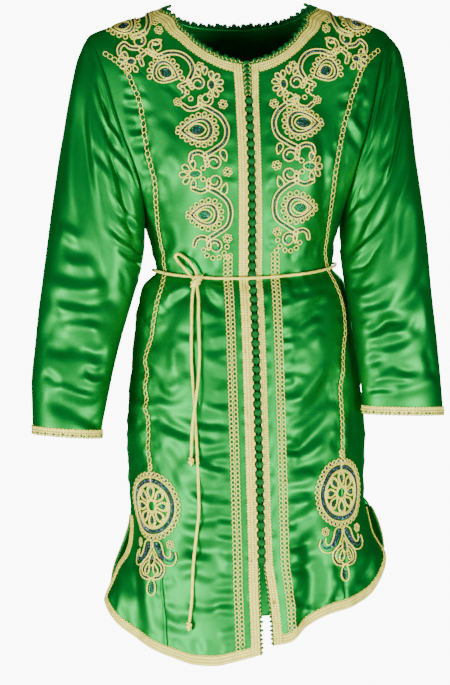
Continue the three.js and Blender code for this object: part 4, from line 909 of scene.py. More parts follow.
# The back's creases, by distance from the middle (towards the wearer's left) and height
BACK_CREASES = (
    (6.0, -3.0, (-118, -120), (-92, -170), (-72, -236)), (6.0, 2.4, (-104, -112), (-80, -160), (-60, -220)),
    (5.5, -2.6, (-124, -178), (-100, -222), (-84, -282)), (6.0, -3.0, (116, -128), (88, -186), (66, -248)),
    (5.5, 2.2, (104, -124), (76, -176), (56, -232)), (5.5, -2.6, (122, -196), (100, -238), (88, -292)),
    (4.4, -2.2, (-128, -96), (-112, -104), (-94, -102)), (4.4, 1.8, (-124, -108), (-108, -116), (-92, -116)),
    (4.4, -2.2, (128, -92), (112, -98), (96, -98)), (4.4, -2.0, (126, -112), (110, -120), (96, -118)),
    (7.0, -2.0, (-34, -60), (-20, -110), (-18, -170)), (7.0, 1.8, (30, -64), (24, -120), (28, -182)),
    (5.0, -2.4, (-80, -358), (-74, -330), (-62, -298)), (4.6, 2.0, (-52, -362), (-48, -336), (-40, -306)),
    (5.0, -2.4, (-24, -364), (-24, -336), (-18, -300)), (4.6, 2.0, (8, -364), (12, -332), (10, -304)),
    (5.0, -2.4, (38, -362), (38, -334), (32, -296)), (4.8, 2.0, (66, -360), (62, -332), (54, -302)),
    (5.0, -2.2, (92, -356), (86, -326), (76, -298)), (5.2, -2.6, (-92, -388), (-96, -420), (-104, -464)),
    (5.0, 2.2, (-64, -390), (-66, -424), (-74, -466)), (5.4, -2.6, (-36, -392), (-38, -430), (-32, -486)),
    (5.0, 2.2, (-6, -392), (-4, -426), (-8, -478)), (5.4, -2.6, (26, -392), (30, -432), (36, -492)),
    (5.0, 2.2, (56, -390), (60, -422), (70, -470)), (5.2, -2.4, (88, -388), (92, -420), (102, -462)),
    (6.0, -2.6, (-150, -470), (-108, -490), (-62, -482)), (5.5, 2.2, (-148, -486), (-104, -506), (-66, -502)),
    (6.0, -2.4, (146, -478), (104, -500), (58, -496)), (5.5, 2.0, (148, -496), (108, -516), (70, -514)),
    (7.5, -3.0, (-40, -540), (-58, -620), (-52, -720)), (7.0, 2.6, (-16, -530), (-28, -620), (-26, -700)),
    (7.5, -3.0, (48, -548), (66, -636), (60, -740)), (7.0, 2.4, (24, -560), (36, -650), (34, -730)),
    (6.0, -2.6, (-158, -590), (-118, -608), (-82, -600)), (5.5, 2.0, (-150, -612), (-112, -628), (-84, -624)),
    (6.0, -2.4, (156, -612), (118, -628), (88, -620)), (6.0, -2.4, (-12, -660), (0, -740), (-6, -830)),
    (8.0, -3.2, (-112, -690), (-122, -780), (-132, -852)), (7.5, 2.8, (-88, -710), (-92, -790), (-98, -868)),
    (8.0, -3.0, (104, -700), (118, -776), (130, -842)), (7.5, 2.8, (80, -720), (88, -800), (96, -866)),
    (7.0, -2.6, (-60, -760), (-66, -820), (-64, -880)), (7.0, -2.6, (44, -772), (50, -830), (48, -882)),
)
# The back halves of both sleeves, by turn and distance from the armhole
SLEEVE_BACK_CREASES = (
    (7.0, -3.8, (338, 30), (318, 90), (290, 160), (250, 215)), (6.5, 3.0, (326, 24), (302, 84), (274, 142)),
    (5.5, -3.2, (306, 20), (282, 76), (252, 122)), (5.5, -3.0, (280, 24), (256, 64), (232, 96)),
    (5.0, 2.4, (292, 24), (268, 72), (240, 108)), (5.0, -2.8, (210, 104), (236, 142), (262, 190)),
    (5.0, 2.2, (206, 122), (230, 160), (252, 204)), (6.5, -3.0, (346, 150), (330, 214), (300, 262)),
    (6.0, -3.4, (216, 262), (250, 286), (290, 292), (326, 280)),
    (6.0, 2.8, (212, 280), (248, 304), (292, 312)),
    (6.0, -3.4, (208, 312), (242, 330), (286, 336), (322, 322)),
    (5.5, 2.4, (220, 346), (256, 356), (300, 352)),
    (5.5, -2.8, (206, 372), (240, 380), (282, 376)), (6.5, -2.6, (334, 350), (342, 410), (330, 462)),
    (5.5, -3.0, (212, 430), (248, 446), (292, 440)), (5.0, 2.4, (220, 452), (254, 464), (300, 456)),
    (5.2, -2.8, (226, 494), (262, 506), (306, 498)), (5.0, 2.2, (218, 520), (256, 530), (300, 522)),
    (5.0, -2.4, (232, 544), (270, 552), (318, 546)),
)


# Stitched lines that draw the cloth in: the height each starts at, and its length
BAND_PUCKERS, BAND_PUCKERS_LONG = -880, 520
OPENING_PUCKERS, OPENING_PUCKERS_LONG = -345, 250
CHAIN_PUCKERS, CHAIN_PUCKERS_LONG = -860, 790
SIDE_PUCKERS, SIDE_PUCKERS_LONG = -700, 390
# Millimetres a degree along the hem
HEM_PER_DEGREE = 2.6
BODY_SEED, SLEEVE_SEED, PICOT_SEED = 11, 23, 5


def pucker(draw, place_at, length, chance, pitch, long, deep, wide=4.6):
    """Small gathers that run out from a stitched line, uneven in pitch, length, lean and depth."""
    run = pitch * chance.uniform(0.3, 1)
    sign = 1
    while run < length:
        reach = long * chance.uniform(0.45, 1.5)
        lean = chance.uniform(-0.35, 0.35) * reach
        strength = deep * chance.uniform(0.35, 1.25) * sign
        stroke = [place_at(run, 1.5), place_at(run + lean * 0.3, reach * 0.5), place_at(run + lean, reach)]
        draw(stroke, wide * chance.uniform(0.85, 1.35), strength, rest=0.25)
        run += pitch * chance.uniform(0.55, 1.45)
        sign = -sign


def draw_body_creases():
    sight = front_sight()
    draw_creases(FRONT_FIELD.draw, sight, FRONT_CREASES)
    for wide, deep, *spots in BACK_CREASES:
        BACK_FIELD.draw([view_spot(x, z, behind=True) for x, z in spots], wide, deep)
    chance = np.random.default_rng(BODY_SEED)
    for side in SIDES:
        # Beside the band and the braid of the opening
        for start, outward, long in ((BAND_START - 1, -1, 7), (BAND_START + BAND_WIDE, 1, 34)):
            def at(run, out, start=start, outward=outward):
                return side * (start + outward * out), BAND_PUCKERS + run
            pucker(FRONT_FIELD.draw, at, BAND_PUCKERS_LONG, chance, 15, long, 1.7)
        at = lambda run, out: (side * (BAND_START - 3 + out), OPENING_PUCKERS + run)
        pucker(FRONT_FIELD.draw, at, OPENING_PUCKERS_LONG, chance, 17, 20, 1.0)
        # Both sides of the chain, on the long seam
        for outward in (-1, 1):
            def at(run, out, outward=outward):
                z = CHAIN_PUCKERS + run
                line = float(arc_at(side, angle_at(side, float(by_side(side, PRINCESS, "", z)), z), z))
                return side * (line + outward * out), z
            pucker(FRONT_FIELD.draw, at, CHAIN_PUCKERS_LONG, chance, 17, 17, 1.25)
        # Above the hem braid, front and back
        for field, table, low, high, behind in (
            (FRONT_FIELD, HEM_FRONT, 4, 82, False), (BACK_FIELD, HEM_BACK, 98, 178, True)
        ):
            def at(run, out, table=table, low=low, behind=behind):
                angle = low + run / HEM_PER_DEGREE
                z = float(by_side(side, table, "", angle)) + HEM_BRAID_WIDE + out
                one = float(arc_at(side, angle, z))
                return side * (float(arc_at(side, 180, z)) - one if behind else one), z
            pucker(field.draw, at, (high - low) * HEM_PER_DEGREE, chance, 13, 18, 1.2)
        # Down the side seam
        for field, behind in ((FRONT_FIELD, False), (BACK_FIELD, True)):
            def at(run, out, behind=behind):
                z = SIDE_PUCKERS + run
                one = float(arc_at(side, 90, z))
                return side * ((float(arc_at(side, 180, z)) - one if behind else one) - out), z
            pucker(field.draw, at, SIDE_PUCKERS_LONG, chance, 20, 24, 1.4, 5.5)


def draw_sleeve_creases(side):
    sleeve = SLEEVE[side]

    def draw(points, wide, deep, **other):
        for shift in (-360, 0, 360):
            sleeve.field.draw([(turn + shift, along) for turn, along in points], wide, deep, **other)

    draw_creases(draw, sleeve_sight(sleeve), SLEEVE_CREASES[side])
    draw_creases(draw, lambda spot: spot, SLEEVE_BACK_CREASES)
    chance = np.random.default_rng(SLEEVE_SEED + side)
    pucker(draw, lambda run, out: (run, 10 + out), 360, chance, 18, 30, 1.3, 5.5)
    pucker(draw, lambda run, out: (run, 580 - out), 360, chance, 15, 18, 1.1)
    for _ in range(14):
        turn, along = chance.uniform(0, 360), chance.uniform(60, 560)
        lean, long = chance.uniform(-14, 14), chance.uniform(14, 32)
        draw([(turn - long, along - lean), (turn, along), (turn + long, along + lean)],
             chance.uniform(5.5, 9), chance.uniform(-1.6, 1.6))


# Making meshes

NO_QUADS = np.zeros((0, 4), int)
NO_TRIANGLES = np.zeros((0, 3), int)
CLOTH_THIN = 1.0
BACK_COLUMN_STEP = 4.8
SEAM_ROLL, SEAM_ROLL_WIDE = 0.9, 2.2


def make_object(name, points, quads, material, nodes=(), uv=None, triangles=None, uv_name="cloth"):
    """An object from points in millimetres. uv is one pair of real-size coordinates for each point."""
    mesh = bpy.data.meshes.new(name)
    points = np.asarray(points, np.float32) * MM
    quads = np.asarray(quads, np.int32).reshape(-1, 4)
    triangles = np.zeros((0, 3), np.int32) if triangles is None else np.asarray(triangles, np.int32)
    corners = np.concatenate([quads.ravel(), triangles.ravel()]).astype(np.int32)
    sizes = np.repeat([4, 3], [len(quads), len(triangles)]).astype(np.int32)
    mesh.vertices.add(len(points))
    mesh.vertices.foreach_set("co", points.ravel())
    mesh.loops.add(len(corners))
    mesh.loops.foreach_set("vertex_index", corners)
    mesh.polygons.add(len(sizes))
    mesh.polygons.foreach_set("loop_start", np.concatenate([[0], np.cumsum(sizes)[:-1]]).astype(np.int32))
    mesh.polygons.foreach_set("loop_total", sizes)
    mesh.update(calc_edges=True)
    mesh.polygons.foreach_set("use_smooth", np.full(len(sizes), True))
    if uv is not None:
        layer = mesh.uv_layers.new(name=uv_name)
        layer.data.foreach_set("uv", np.asarray(uv, np.float32)[corners].ravel())
    mesh.materials.append(material)
    mesh.validate()
    piece = bpy.data.objects.new(name, mesh)
    bpy.context.scene.collection.objects.link(piece)
    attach(piece, "root")
    if nodes:
        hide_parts(*nodes)
    return piece


def grid_faces(rows_count, columns, wraps=False, first=0):
    r = np.arange(rows_count - 1)[:, None]
    c = np.arange(columns if wraps else columns - 1)[None, :]
    after = (c + 1) % columns
    low, high = r * columns, (r + 1) * columns
    corner = np.stack([low + c, low + after, high + after, high + c], -1)
    return corner.reshape(-1, 4) + first


def shell(outer, inner, wraps=False, flip=False):
    """A thin closed skin between two grids of points: both faces and the rims that join them."""
    rows_count, columns = outer.shape[:2]
    behind = rows_count * columns
    faces = [grid_faces(rows_count, columns, wraps), grid_faces(rows_count, columns, wraps, behind)[:, ::-1]]

    def rim(line):
        a, b = line[:-1], line[1:]
        faces.append(np.stack([b, a, a + behind, b + behind], -1))

    index = np.arange(behind).reshape(rows_count, columns)
    if wraps:
        index = np.concatenate([index, index[:, :1]], axis=1)
        rim(index[0])
        rim(index[-1, ::-1])
    else:
        rim(index[0])
        rim(index[:, -1])
        rim(index[-1, ::-1])
        rim(index[::-1, 0])
    faces = np.concatenate(faces)
    if flip:
        faces = faces[:, ::-1]
    return np.concatenate([outer.reshape(-1, 3), inner.reshape(-1, 3)]), faces


def grid_uv(points):
    """Real-size coordinates, in metres: across along the rows and up along the middle column. They are
    given twice, for the two faces of the cloth."""
    middle = points.shape[1] // 2
    across = run_lengths(points, 1)
    across = across - across[:, middle : middle + 1]
    up = run_lengths(points, 0)[:, middle : middle + 1] + 0 * across
    return np.tile(np.stack([across, up], -1).reshape(-1, 2) * MM, (2, 1))


def on_body(side, spots, out=0.0):
    return body_point(side, spots[..., 0], spots[..., 1], out)


def seam_roll(total, distances, start, end):
    """The cloth turns in a little where it is sewn to the next panel."""
    depth = np.zeros_like(distances)
    if start:
        depth = depth + np.exp(-((distances / SEAM_ROLL_WIDE) ** 2))
    if end:
        depth = depth + np.exp(-(((total - distances) / SEAM_ROLL_WIDE) ** 2))
    return -SEAM_ROLL * depth


def panel_grids(panel, columns, start_seam, end_seam):
    share = np.linspace(0, 1, columns)
    spots = panel.grid(range(len(panel.spots)), lambda total: total * share)
    total = panel.lengths[:, -1:]
    roll = seam_roll(total, total * share[None, :], start_seam, end_seam)
    return on_body(panel.side, spots, roll), on_body(panel.side, spots, roll - CLOTH_THIN)


def make_cloth(name, outer, inner, wraps=False, flip=False):
    points, faces = shell(outer, inner, wraps, flip)
    return make_object(f"{name}_cloth", points, faces, SATIN, [name], grid_uv(outer))


def make_panel(name, panel, columns, start_seam, end_seam):
    outer, inner = panel_grids(panel, columns, start_seam, end_seam)
    declare_sheet(make_cloth(name, outer, inner, flip=panel.side == LEFT), outer)


def declare_sheet(piece, outer):
    """Measures a panel's outer face: the lengths along its rows and columns, and the steps between its
    points. Nothing is done with them.
    """
    across, up = run_lengths(outer, 1), run_lengths(outer, 0)
    one, other = np.diff(outer[:-1], axis=1), np.diff(outer[:, :-1], axis=0)


def make_back(panels):
    outer, inner = [], []
    for side in SIDES:
        columns = round(panels[side].lengths[:, -1].mean() / BACK_COLUMN_STEP)
        grids = panel_grids(panels[side], columns, False, True)
        keep = slice(1, None) if side == LEFT else slice(None, None, -1)
        outer.append(grids[0][:, keep])
        inner.append(grids[1][:, keep])
    outer, inner = np.concatenate(outer, axis=1), np.concatenate(inner, axis=1)
    declare_sheet(make_cloth("back", outer, inner, flip=True), outer)


# Materials

# Stops of the colour ramps: place and colour
SATIN_GREENS = (
    (0.3, (0.0006, 0.165, 0.023)), (0.52, (0.001, 0.2, 0.029)), (0.75, (0.0015, 0.24, 0.035)),
)
# Bead colours by random cell: dark blue-greens, and a pale blue top stop that is a painted glint
BEAD_COLOURS_AND_GLINTS = (
    (0.0, (0.0, 0.008, 0.014)), (0.5, (0.0, 0.03, 0.04)), (0.84, (0.005, 0.09, 0.11)),
    (1.0, (0.25, 0.42, 0.62)),
)
KNOT_GREENS = ((0.3, (0.0, 0.045, 0.006)), (0.7, (0.0005, 0.115, 0.016)))
FLOOR_GREYS = ((0.3, (0.86, 0.86, 0.85)), (0.7, (0.9, 0.9, 0.89)))
# Gold ramp ends: a darker colour that paints shade in the hollows between strands, and a near-white painted
# glint for their crests
GOLD_HOLLOW_SHADE, GOLD_PAINTED_GLINT = (0.4, 0.32, 0.02), (1.0, 1.0, 0.3)
# Painted shade for the braid's grooves: the edges of each plait and the dips of its crossings
GROOVE_SHADE = (0.27, 0.18, 0.02, 1)
# A plait of the braid: half its width in metres, the pitch of its crossings in millimetres, their lean
RIB_HALF = 0.00217
CHEVRON = 3.0
CHEVRON_LEAN = 0.42


def node_material(name):
    material = bpy.data.materials.new(name)
    material.use_nodes = True
    tree = material.node_tree
    return material, tree, tree.nodes["Principled BSDF"]


def fill_inputs(tree, node, inputs):
    """Each named input takes a value, or a link where a socket is given."""
    for key, value in inputs.items():
        if isinstance(value, bpy.types.NodeSocket):
            tree.links.new(value, node.inputs[key])
        else:
            node.inputs[key].default_value = value


def add_node(tree, kind, inputs, **settings):
    node = tree.nodes.new(kind)
    for key, value in settings.items():
        setattr(node, key, value)
    fill_inputs(tree, node, inputs)
    return node


def calculate(tree, operation, *values):
    """One sum on sockets and numbers."""
    return add_node(tree, "ShaderNodeMath", dict(enumerate(values)), operation=operation).outputs[0]


def coordinates(tree, uv_map):
    """The real-size coordinates of the cloth or the strand, and the place in the whole piece."""
    place = add_node(tree, "ShaderNodeUVMap", {}, uv_map=uv_map).outputs["UV"]
    return place, add_node(tree, "ShaderNodeTexCoord", {}).outputs["Object"]


def ramp(tree, factor, *stops):
    """A colour ramp of (position, colour) stops."""
    node = add_node(tree, "ShaderNodeValToRGB", {"Fac": factor})
    while len(node.color_ramp.elements) < len(stops):
        node.color_ramp.elements.new(0.5)
    for element, (place, colour) in zip(node.color_ramp.elements, stops):
        element.position = place
        element.color = (*colour, 1)
    return node.outputs["Color"]


def bump(tree, shader, height, distance, strength=1.0, before=None):
    inputs = {"Height": height, "Distance": distance, "Strength": strength}
    if before is not None:
        inputs["Normal"] = before
    node = add_node(tree, "ShaderNodeBump", inputs)
    tree.links.new(node.outputs["Normal"], shader.inputs["Normal"])
    return node.outputs["Normal"]


def noise(tree, place, scale, detail=2.0, rough=0.5, stretch=(1, 1, 1)):
    mapped = add_node(tree, "ShaderNodeMapping", {"Vector": place, "Scale": stretch})
    node = add_node(
        tree,
        "ShaderNodeTexNoise",
        {"Vector": mapped.outputs["Vector"], "Scale": scale, "Detail": detail, "Roughness": rough},
    )
    return node.outputs["Fac"]


def slant(tree, place, scale, distortion, **more):
    """Slanting bands, as of twisted threads."""
    inputs = {"Vector": place, "Scale": scale, "Distortion": distortion, **more}
    return add_node(tree, "ShaderNodeTexWave", inputs, bands_direction="DIAGONAL").outputs["Fac"]


def satin_material():
    """Heavy polyester satin: a tight twill with a broad, soft gloss that is stronger along the grain."""
    material, tree, shader = node_material("green_satin")
    place, body = coordinates(tree, "cloth")
    colour = ramp(tree, noise(tree, body, 9, 3, 0.55), *SATIN_GREENS)
    fill_inputs(tree, shader, {
        "Base Color": colour, "Metallic": 0.9, "Roughness": 0.47,
        "Specular IOR Level": 0.2, "Specular Tint": (0.1, 0.75, 0.2, 1),
        "Sheen Weight": 0.04, "Sheen Roughness": 0.4, "Sheen Tint": (0.1, 1.0, 0.25, 1),
    })
    streaks = noise(tree, place, 420, 3, 0.6, (0.12, 1, 1))
    soft = bump(tree, shader, noise(tree, place, 30, 2, 0.5), 0.0016, 0.25)
    threads = bump(tree, shader, streaks, 0.00025, 0.5, soft)
    bump(tree, shader, slant(tree, place, 620, 0.6), 0.00006, 0.35, threads)
    return material


def shade_plait_grooves(tree, place, colour, rib):
    """Painted shade on a gold colour: darker at each plait's two edges and in the dips of its crossings."""
    split = add_node(tree, "ShaderNodeSeparateXYZ", {"Vector": place})
    across = split.outputs["X"]
    # Painted shade along each plait's edges, where its arch falls into the groove
    edge = add_node(tree, "ShaderNodeMapRange", {"Value": across, "From Min": 0.6 * rib, "From Max": rib})
    lean = calculate(tree, "MULTIPLY", across, CHEVRON_LEAN * math.tau / rib)
    phase = calculate(tree, "MULTIPLY_ADD", split.outputs["Y"], math.tau / (CHEVRON * MM), lean)
    # Painted shade where the chevron of the braid's relief dips lowest
    crossing_shade = add_node(tree, "ShaderNodeMapRange", {
        "Value": calculate(tree, "COSINE", phase), "From Min": -0.35, "From Max": -1.0, "To Max": 0.6,
    })
    most = calculate(tree, "MAXIMUM", edge.outputs["Result"], crossing_shade.outputs["Result"])
    mixed = add_node(tree, "ShaderNodeMix", {"Factor": most, 6: colour, 7: GROOVE_SHADE}, data_type="RGBA")
    return mixed.outputs[2]


def gold_material(name, scale, depth, light, rib=0):
    """Gold thread: twisted strands, with painted shade in their hollows and a painted glint on their crests.
    rib is half the width of a plait, whose two edges and crossing dips then get painted shade."""
    material, tree, shader = node_material(name)
    place, body = coordinates(tree, "strand")
    strands = slant(tree, place, scale, 1.2, Detail=1.5)
    # The strand bands, varied by random tone, pick the colour: painted shade in their hollows and painted
    # glint on their crests
    strand_shade_and_tone = calculate(tree, "MULTIPLY_ADD", strands, noise(tree, body, 160, 3, 0.6), 0.1)
    colour = ramp(tree, strand_shade_and_tone, (0.05, GOLD_HOLLOW_SHADE), (0.45, light), (0.95, GOLD_PAINTED_GLINT))
    if rib:
        colour = shade_plait_grooves(tree, place, colour, rib)
    fill_inputs(tree, shader, {"Base Color": colour, "Metallic": 0.15, "Roughness": 0.45})
    bump(tree, shader, strands, depth, 0.8)
    return material


def bead_material():
    """Small cut glass beads, dark blue-green; random cells at the ramp's top are pale blue, a painted glint.
    """
    material, tree, shader = node_material("glass_beads")
    body = add_node(tree, "ShaderNodeTexCoord", {}).outputs["Object"]
    cell = add_node(tree, "ShaderNodeTexVoronoi", {"Vector": body, "Scale": 520}).outputs["Color"]
    split = add_node(tree, "ShaderNodeSeparateColor", {"Color": cell}).outputs["Red"]
    colour = ramp(tree, split, *BEAD_COLOURS_AND_GLINTS)
    fill_inputs(tree, shader, {
        "Base Color": colour, "Metallic": 0.55, "Roughness": 0.18, "Coat Weight": 0.6,
    })
    return material


def knot_material():
    """Green viscose cord of the buttons and picots: matt, with fine twisted threads."""
    material, tree, shader = node_material("green_cord")
    place, body = coordinates(tree, "strand")
    strands = slant(tree, place, 260, 1.0)
    colour = ramp(tree, noise(tree, body, 300, 2), *KNOT_GREENS)
    fill_inputs(tree, shader, {"Base Color": colour, "Roughness": 0.6, "Specular IOR Level": 0.12})
    bump(tree, shader, strands, 0.0004, 0.7)
    return material


def floor_material():
    material, tree, shader = node_material("pale_floor")
    body = add_node(tree, "ShaderNodeTexCoord", {}).outputs["Object"]
    colour = ramp(tree, noise(tree, body, 3, 2), *FLOOR_GREYS)
    fill_inputs(tree, shader, {"Base Color": colour, "Roughness": 0.8})
    return material


SATIN = satin_material()
BRAID_GOLD = gold_material("gold_braid", 180, 0.0005, (1.0, 0.96, 0.13), RIB_HALF)
CORD_GOLD = gold_material("gold_cord", 150, 0.0004, (0.99, 0.93, 0.12))
BEADS = bead_material()
GREEN_CORD = knot_material()
PALE_FLOOR = floor_material()


# Camera, lights and floor

WORLD_LIGHT = 0.13
BACKDROP_WHITE = 10.0
FLOOR_RADIUS = 2.0
FLOOR_AT = -1.4
# Soft lights: name, place, aim, size and power
LIGHTS = (
    ("key", (-2.4, -1.85, -1.0), (0, 0, -0.55), (0.9, 0.9), 150),
    ("front", (-0.7, -3.15, -1.25), (0, 0, -0.55), (0.7, 0.7), 42),
    ("fill", (1.5, -2.7, -1.05), (0, 0, -0.55), (0.9, 0.9), 148),
    ("top", (-0.3, -0.4, 2.0), (0, 0, -0.3), (1.2, 1.0), 7),
    ("back", (0.7, 2.8, 0.1), (0, 0, -0.5), (1.2, 1.2), 110),
)


def make_camera():
    data = bpy.data.cameras.new("photo_view")
    data.sensor_fit = "VERTICAL"
    data.sensor_height = SENSOR
    data.lens = SENSOR * CAMERA_FAR / (IMAGE_HIGH * MM_PER_PIXEL)
    camera = bpy.data.objects.new("photo_view", data)
    bpy.context.scene.collection.objects.link(camera)
    eye, right, up, forward = camera_axes()
    frame_matrix = Matrix((right, up, -forward)).transposed().to_4x4()
    camera.matrix_world = Matrix.Translation(eye * MM) @ frame_matrix
    bpy.context.scene.camera = camera


def soft_light(name, place, aim, size, power):
    data = bpy.data.lights.new(name, "AREA")
    data.shape = "RECTANGLE"
    data.size, data.size_y = size
    data.energy = power
    light = bpy.data.objects.new(name, data)
    bpy.context.scene.collection.objects.link(light)
    light.location = place
    direction = Vector(aim) - Vector(place)
    light.rotation_euler = direction.to_track_quat("-Z", "Y").to_euler()


def make_studio():
    world = bpy.data.worlds.new("studio")
    bpy.context.scene.world = world
    world.use_nodes = True
    tree = world.node_tree
    ambient = tree.nodes["Background"]
    fill_inputs(tree, ambient, {"Color": (1, 1, 1, 1), "Strength": WORLD_LIGHT})
    backdrop = add_node(tree, "ShaderNodeBackground", {"Color": (1, 1, 1, 1), "Strength": BACKDROP_WHITE})
    straight = add_node(tree, "ShaderNodeLightPath", {}).outputs["Is Camera Ray"]
    mix = add_node(
        tree, "ShaderNodeMixShader", {0: straight, 1: ambient.outputs[0], 2: backdrop.outputs[0]}
    )
    fill_inputs(tree, tree.nodes["World Output"], {"Surface": mix.outputs[0]})
    for light in LIGHTS:
        soft_light(*light)
    mesh = bpy.data.meshes.new("floor")
    floor = bpy.data.objects.new("floor", mesh)
    bpy.context.scene.collection.objects.link(floor)
    ball = bmesh.new()
    bmesh.ops.create_circle(ball, cap_ends=True, segments=96, radius=FLOOR_RADIUS)
    ball.to_mesh(mesh)
    ball.free()
    floor.location = (0, 0, FLOOR_AT)
    mesh.materials.append(PALE_FLOOR)


make_camera()
make_studio()


# Braids: flat gold plaits sewn round every edge

BRAID_STEP = 1.0
BRAID_COLUMNS = 16
BRAID_END = 0.25
PLAITS = 3
# Keeps the far edge of the braid in its last plait
LAST_PLAIT = 0.9999
LOOP_PITCH, LOOP_CORD, LOOP_STEP = 4.9, 0.62, 1.1
# The cuff braid's two edges, as rows of the sleeve, and its length round the cuff
CUFF_ROWS = (9.06, 10.0)
CUFF_ROUND = 245
CUFF_STEPS = 270
# The row that the edging of a cuff is sewn to
CUFF_EDGE = 9.98
# How much of the wearer's left front braid shows beside the knots, at shares of the way to the neck
SHOWN_AT, SHOWN = (0, 0.2, 0.5, 0.93, 1), (0.97, 0.74, 0.7, 0.72, 0.86)
EDGE_SAMPLES = 160


def in_plait(across):
    """The place in its own plait of a share of the braid's width: -1 and 1 are the plait's edges."""
    return 2 * np.mod(across * PLAITS * LAST_PLAIT, 1) - 1


def braid_height(across, along):
    """Height of three plaits side by side. across runs from 0 to 1, along is in millimetres."""
    place = in_plait(across)
    arch = np.sqrt(np.maximum(0, 1 - place**2))
    chevron = np.cos(2 * math.pi * (along / CHEVRON + CHEVRON_LEAN * np.abs(place)))
    return 0.2 + (1.0 + 0.3 * chevron) * arch


def ribbon(strips):
    """Evenly spaced rows between the two edges of a braid. Each strip is its side, its spots along
    one edge and its spots along the other."""
    sides, first, last, strand_shade_and_tone = [], [], [], []
    for side, a, b in strips:
        sides.append(np.full(len(a), side))
        first.append(a)
        last.append(b)
        strand_shade_and_tone.append(body_point(side, (a[:, 0] + b[:, 0]) / 2, (a[:, 1] + b[:, 1]) / 2, creases=False))
    sides, first, last, strand_shade_and_tone = (np.concatenate(part) for part in (sides, first, last, strand_shade_and_tone))
    run = run_along(strand_shade_and_tone)
    along = np.linspace(0, run[-1], round(run[-1] / BRAID_STEP))
    places = np.arange(len(run))
    index = np.interp(along, run, places)
    nearest = np.clip(np.round(index).astype(int), 0, len(run) - 1)
    return sides[nearest], between(index, places, first), between(index, places, last), along


def make_braid(name, nodes, strips):
    sides, first, last, along = ribbon(strips)
    across = np.linspace(0, 1, BRAID_COLUMNS)[None, :]
    spots = first[:, None] * (1 - across[..., None]) + last[:, None] * across[..., None]
    height = braid_height(across, along[:, None])
    height[[0, -1]] = BRAID_END
    side = sides[:, None] + 0 * across
    outer = body_point(side, spots[..., 0], spots[..., 1], LAY_GAP + height)
    edges = spots[:, [-1, 0]]
    under = body_point(side[:, :2], edges[..., 0], edges[..., 1], LAY_GAP * 0.5)
    finish_braid(name, nodes, outer, under, along)


def finish_braid(name, nodes, outer, under, along, closed=False):
    """A plaited strip: its worked face, and a plain back between its two edges."""
    rings = np.concatenate([outer, under], axis=1)
    count, sides = rings.shape[:2]
    across = np.linspace(0, 1, BRAID_COLUMNS)
    place = np.abs(in_plait(across)) * BRAID_WIDE / PLAITS / 2
    place = np.append(place, place[[-1, 0]])
    uv = np.stack(np.broadcast_arrays(place[None, :], along[:, None]), -1).reshape(-1, 2) * MM
    if closed:
        faces, caps = grid_faces(count + 1, sides, wraps=True) % (count * sides), NO_TRIANGLES
    else:
        faces = grid_faces(count, sides, wraps=True)
        fan = np.arange(sides - 2)
        cap = np.stack([0 * fan + sides - 1, fan + 1, fan], -1)
        caps = np.concatenate([cap, cap[:, [0, 2, 1]] + (count - 1) * sides])
    points = rings.reshape(-1, 3)
    piece = make_object(name, points, faces, BRAID_GOLD, nodes, uv, caps, "strand")
    turn_outward(piece)


def edge_loops(stitches, track, outward):
    """The fine looped thread along a braid's edge."""
    along = np.arange(0, track.run[-1], LOOP_STEP)
    turn = 2 * math.pi * along / LOOP_PITCH
    stand = outward * (2.0 * (0.5 + 0.5 * np.cos(turn)) - 0.3)
    points, normals, _ = track.place(along, stand, LAY_GAP + 0.55 + 0.3 * np.sin(turn))
    stitches.cord(points, normals, LOOP_CORD, 5)


def turn_outward(piece):
    """Faces of a closed piece point out of it."""
    mesh = bmesh.new()
    mesh.from_mesh(piece.data)
    bmesh.ops.recalc_face_normals(mesh, faces=mesh.faces)
    mesh.to_mesh(piece.data)
    mesh.free()


def spots_on(panel, at_rows, distance, from_end=False):
    place = lambda total: np.array([total - distance if from_end else distance])
    return np.concatenate([panel.row(r, place) for r in at_rows])


def hem_strip(panel, start, end):
    """Both edges of a hem braid between two distances from the panel's start edge."""
    lower = panel.row(0, lambda total: np.linspace(start, total, EDGE_SAMPLES))
    upper = panel.row(FINE_LOWER[0], lambda total: np.linspace(start, total - end, EDGE_SAMPLES))
    return lower, upper


def slit_strip(panel):
    """Both edges of a slit braid, from the hem corner up to the top of the slit."""
    outer_rows = np.linspace(0, FINE_LOWER[0] + FINE_LOWER[1], 120)
    inner_rows = np.linspace(FINE_LOWER[0], FINE_LOWER[0] + FINE_LOWER[1], 120)
    outer = spots_on(panel, outer_rows, 0, from_end=True)
    inner = spots_on(panel, inner_rows, HEM_BRAID_WIDE, from_end=True)
    return outer, inner


def front_braid_share(side, height):
    """Share of the whole braid width that shows on a front edge, from the hem (0) to the neck (1). The
    knots lie over the inner part of the wearer's left one."""
    if side == RIGHT:
        return 1.0 + 0 * height
    return np.interp(height, SHOWN_AT, SHOWN)


def walked_back(strips):
    """The same strips from their other end."""
    return [(side, one[::-1], other[::-1]) for side, one, other in strips[::-1]]


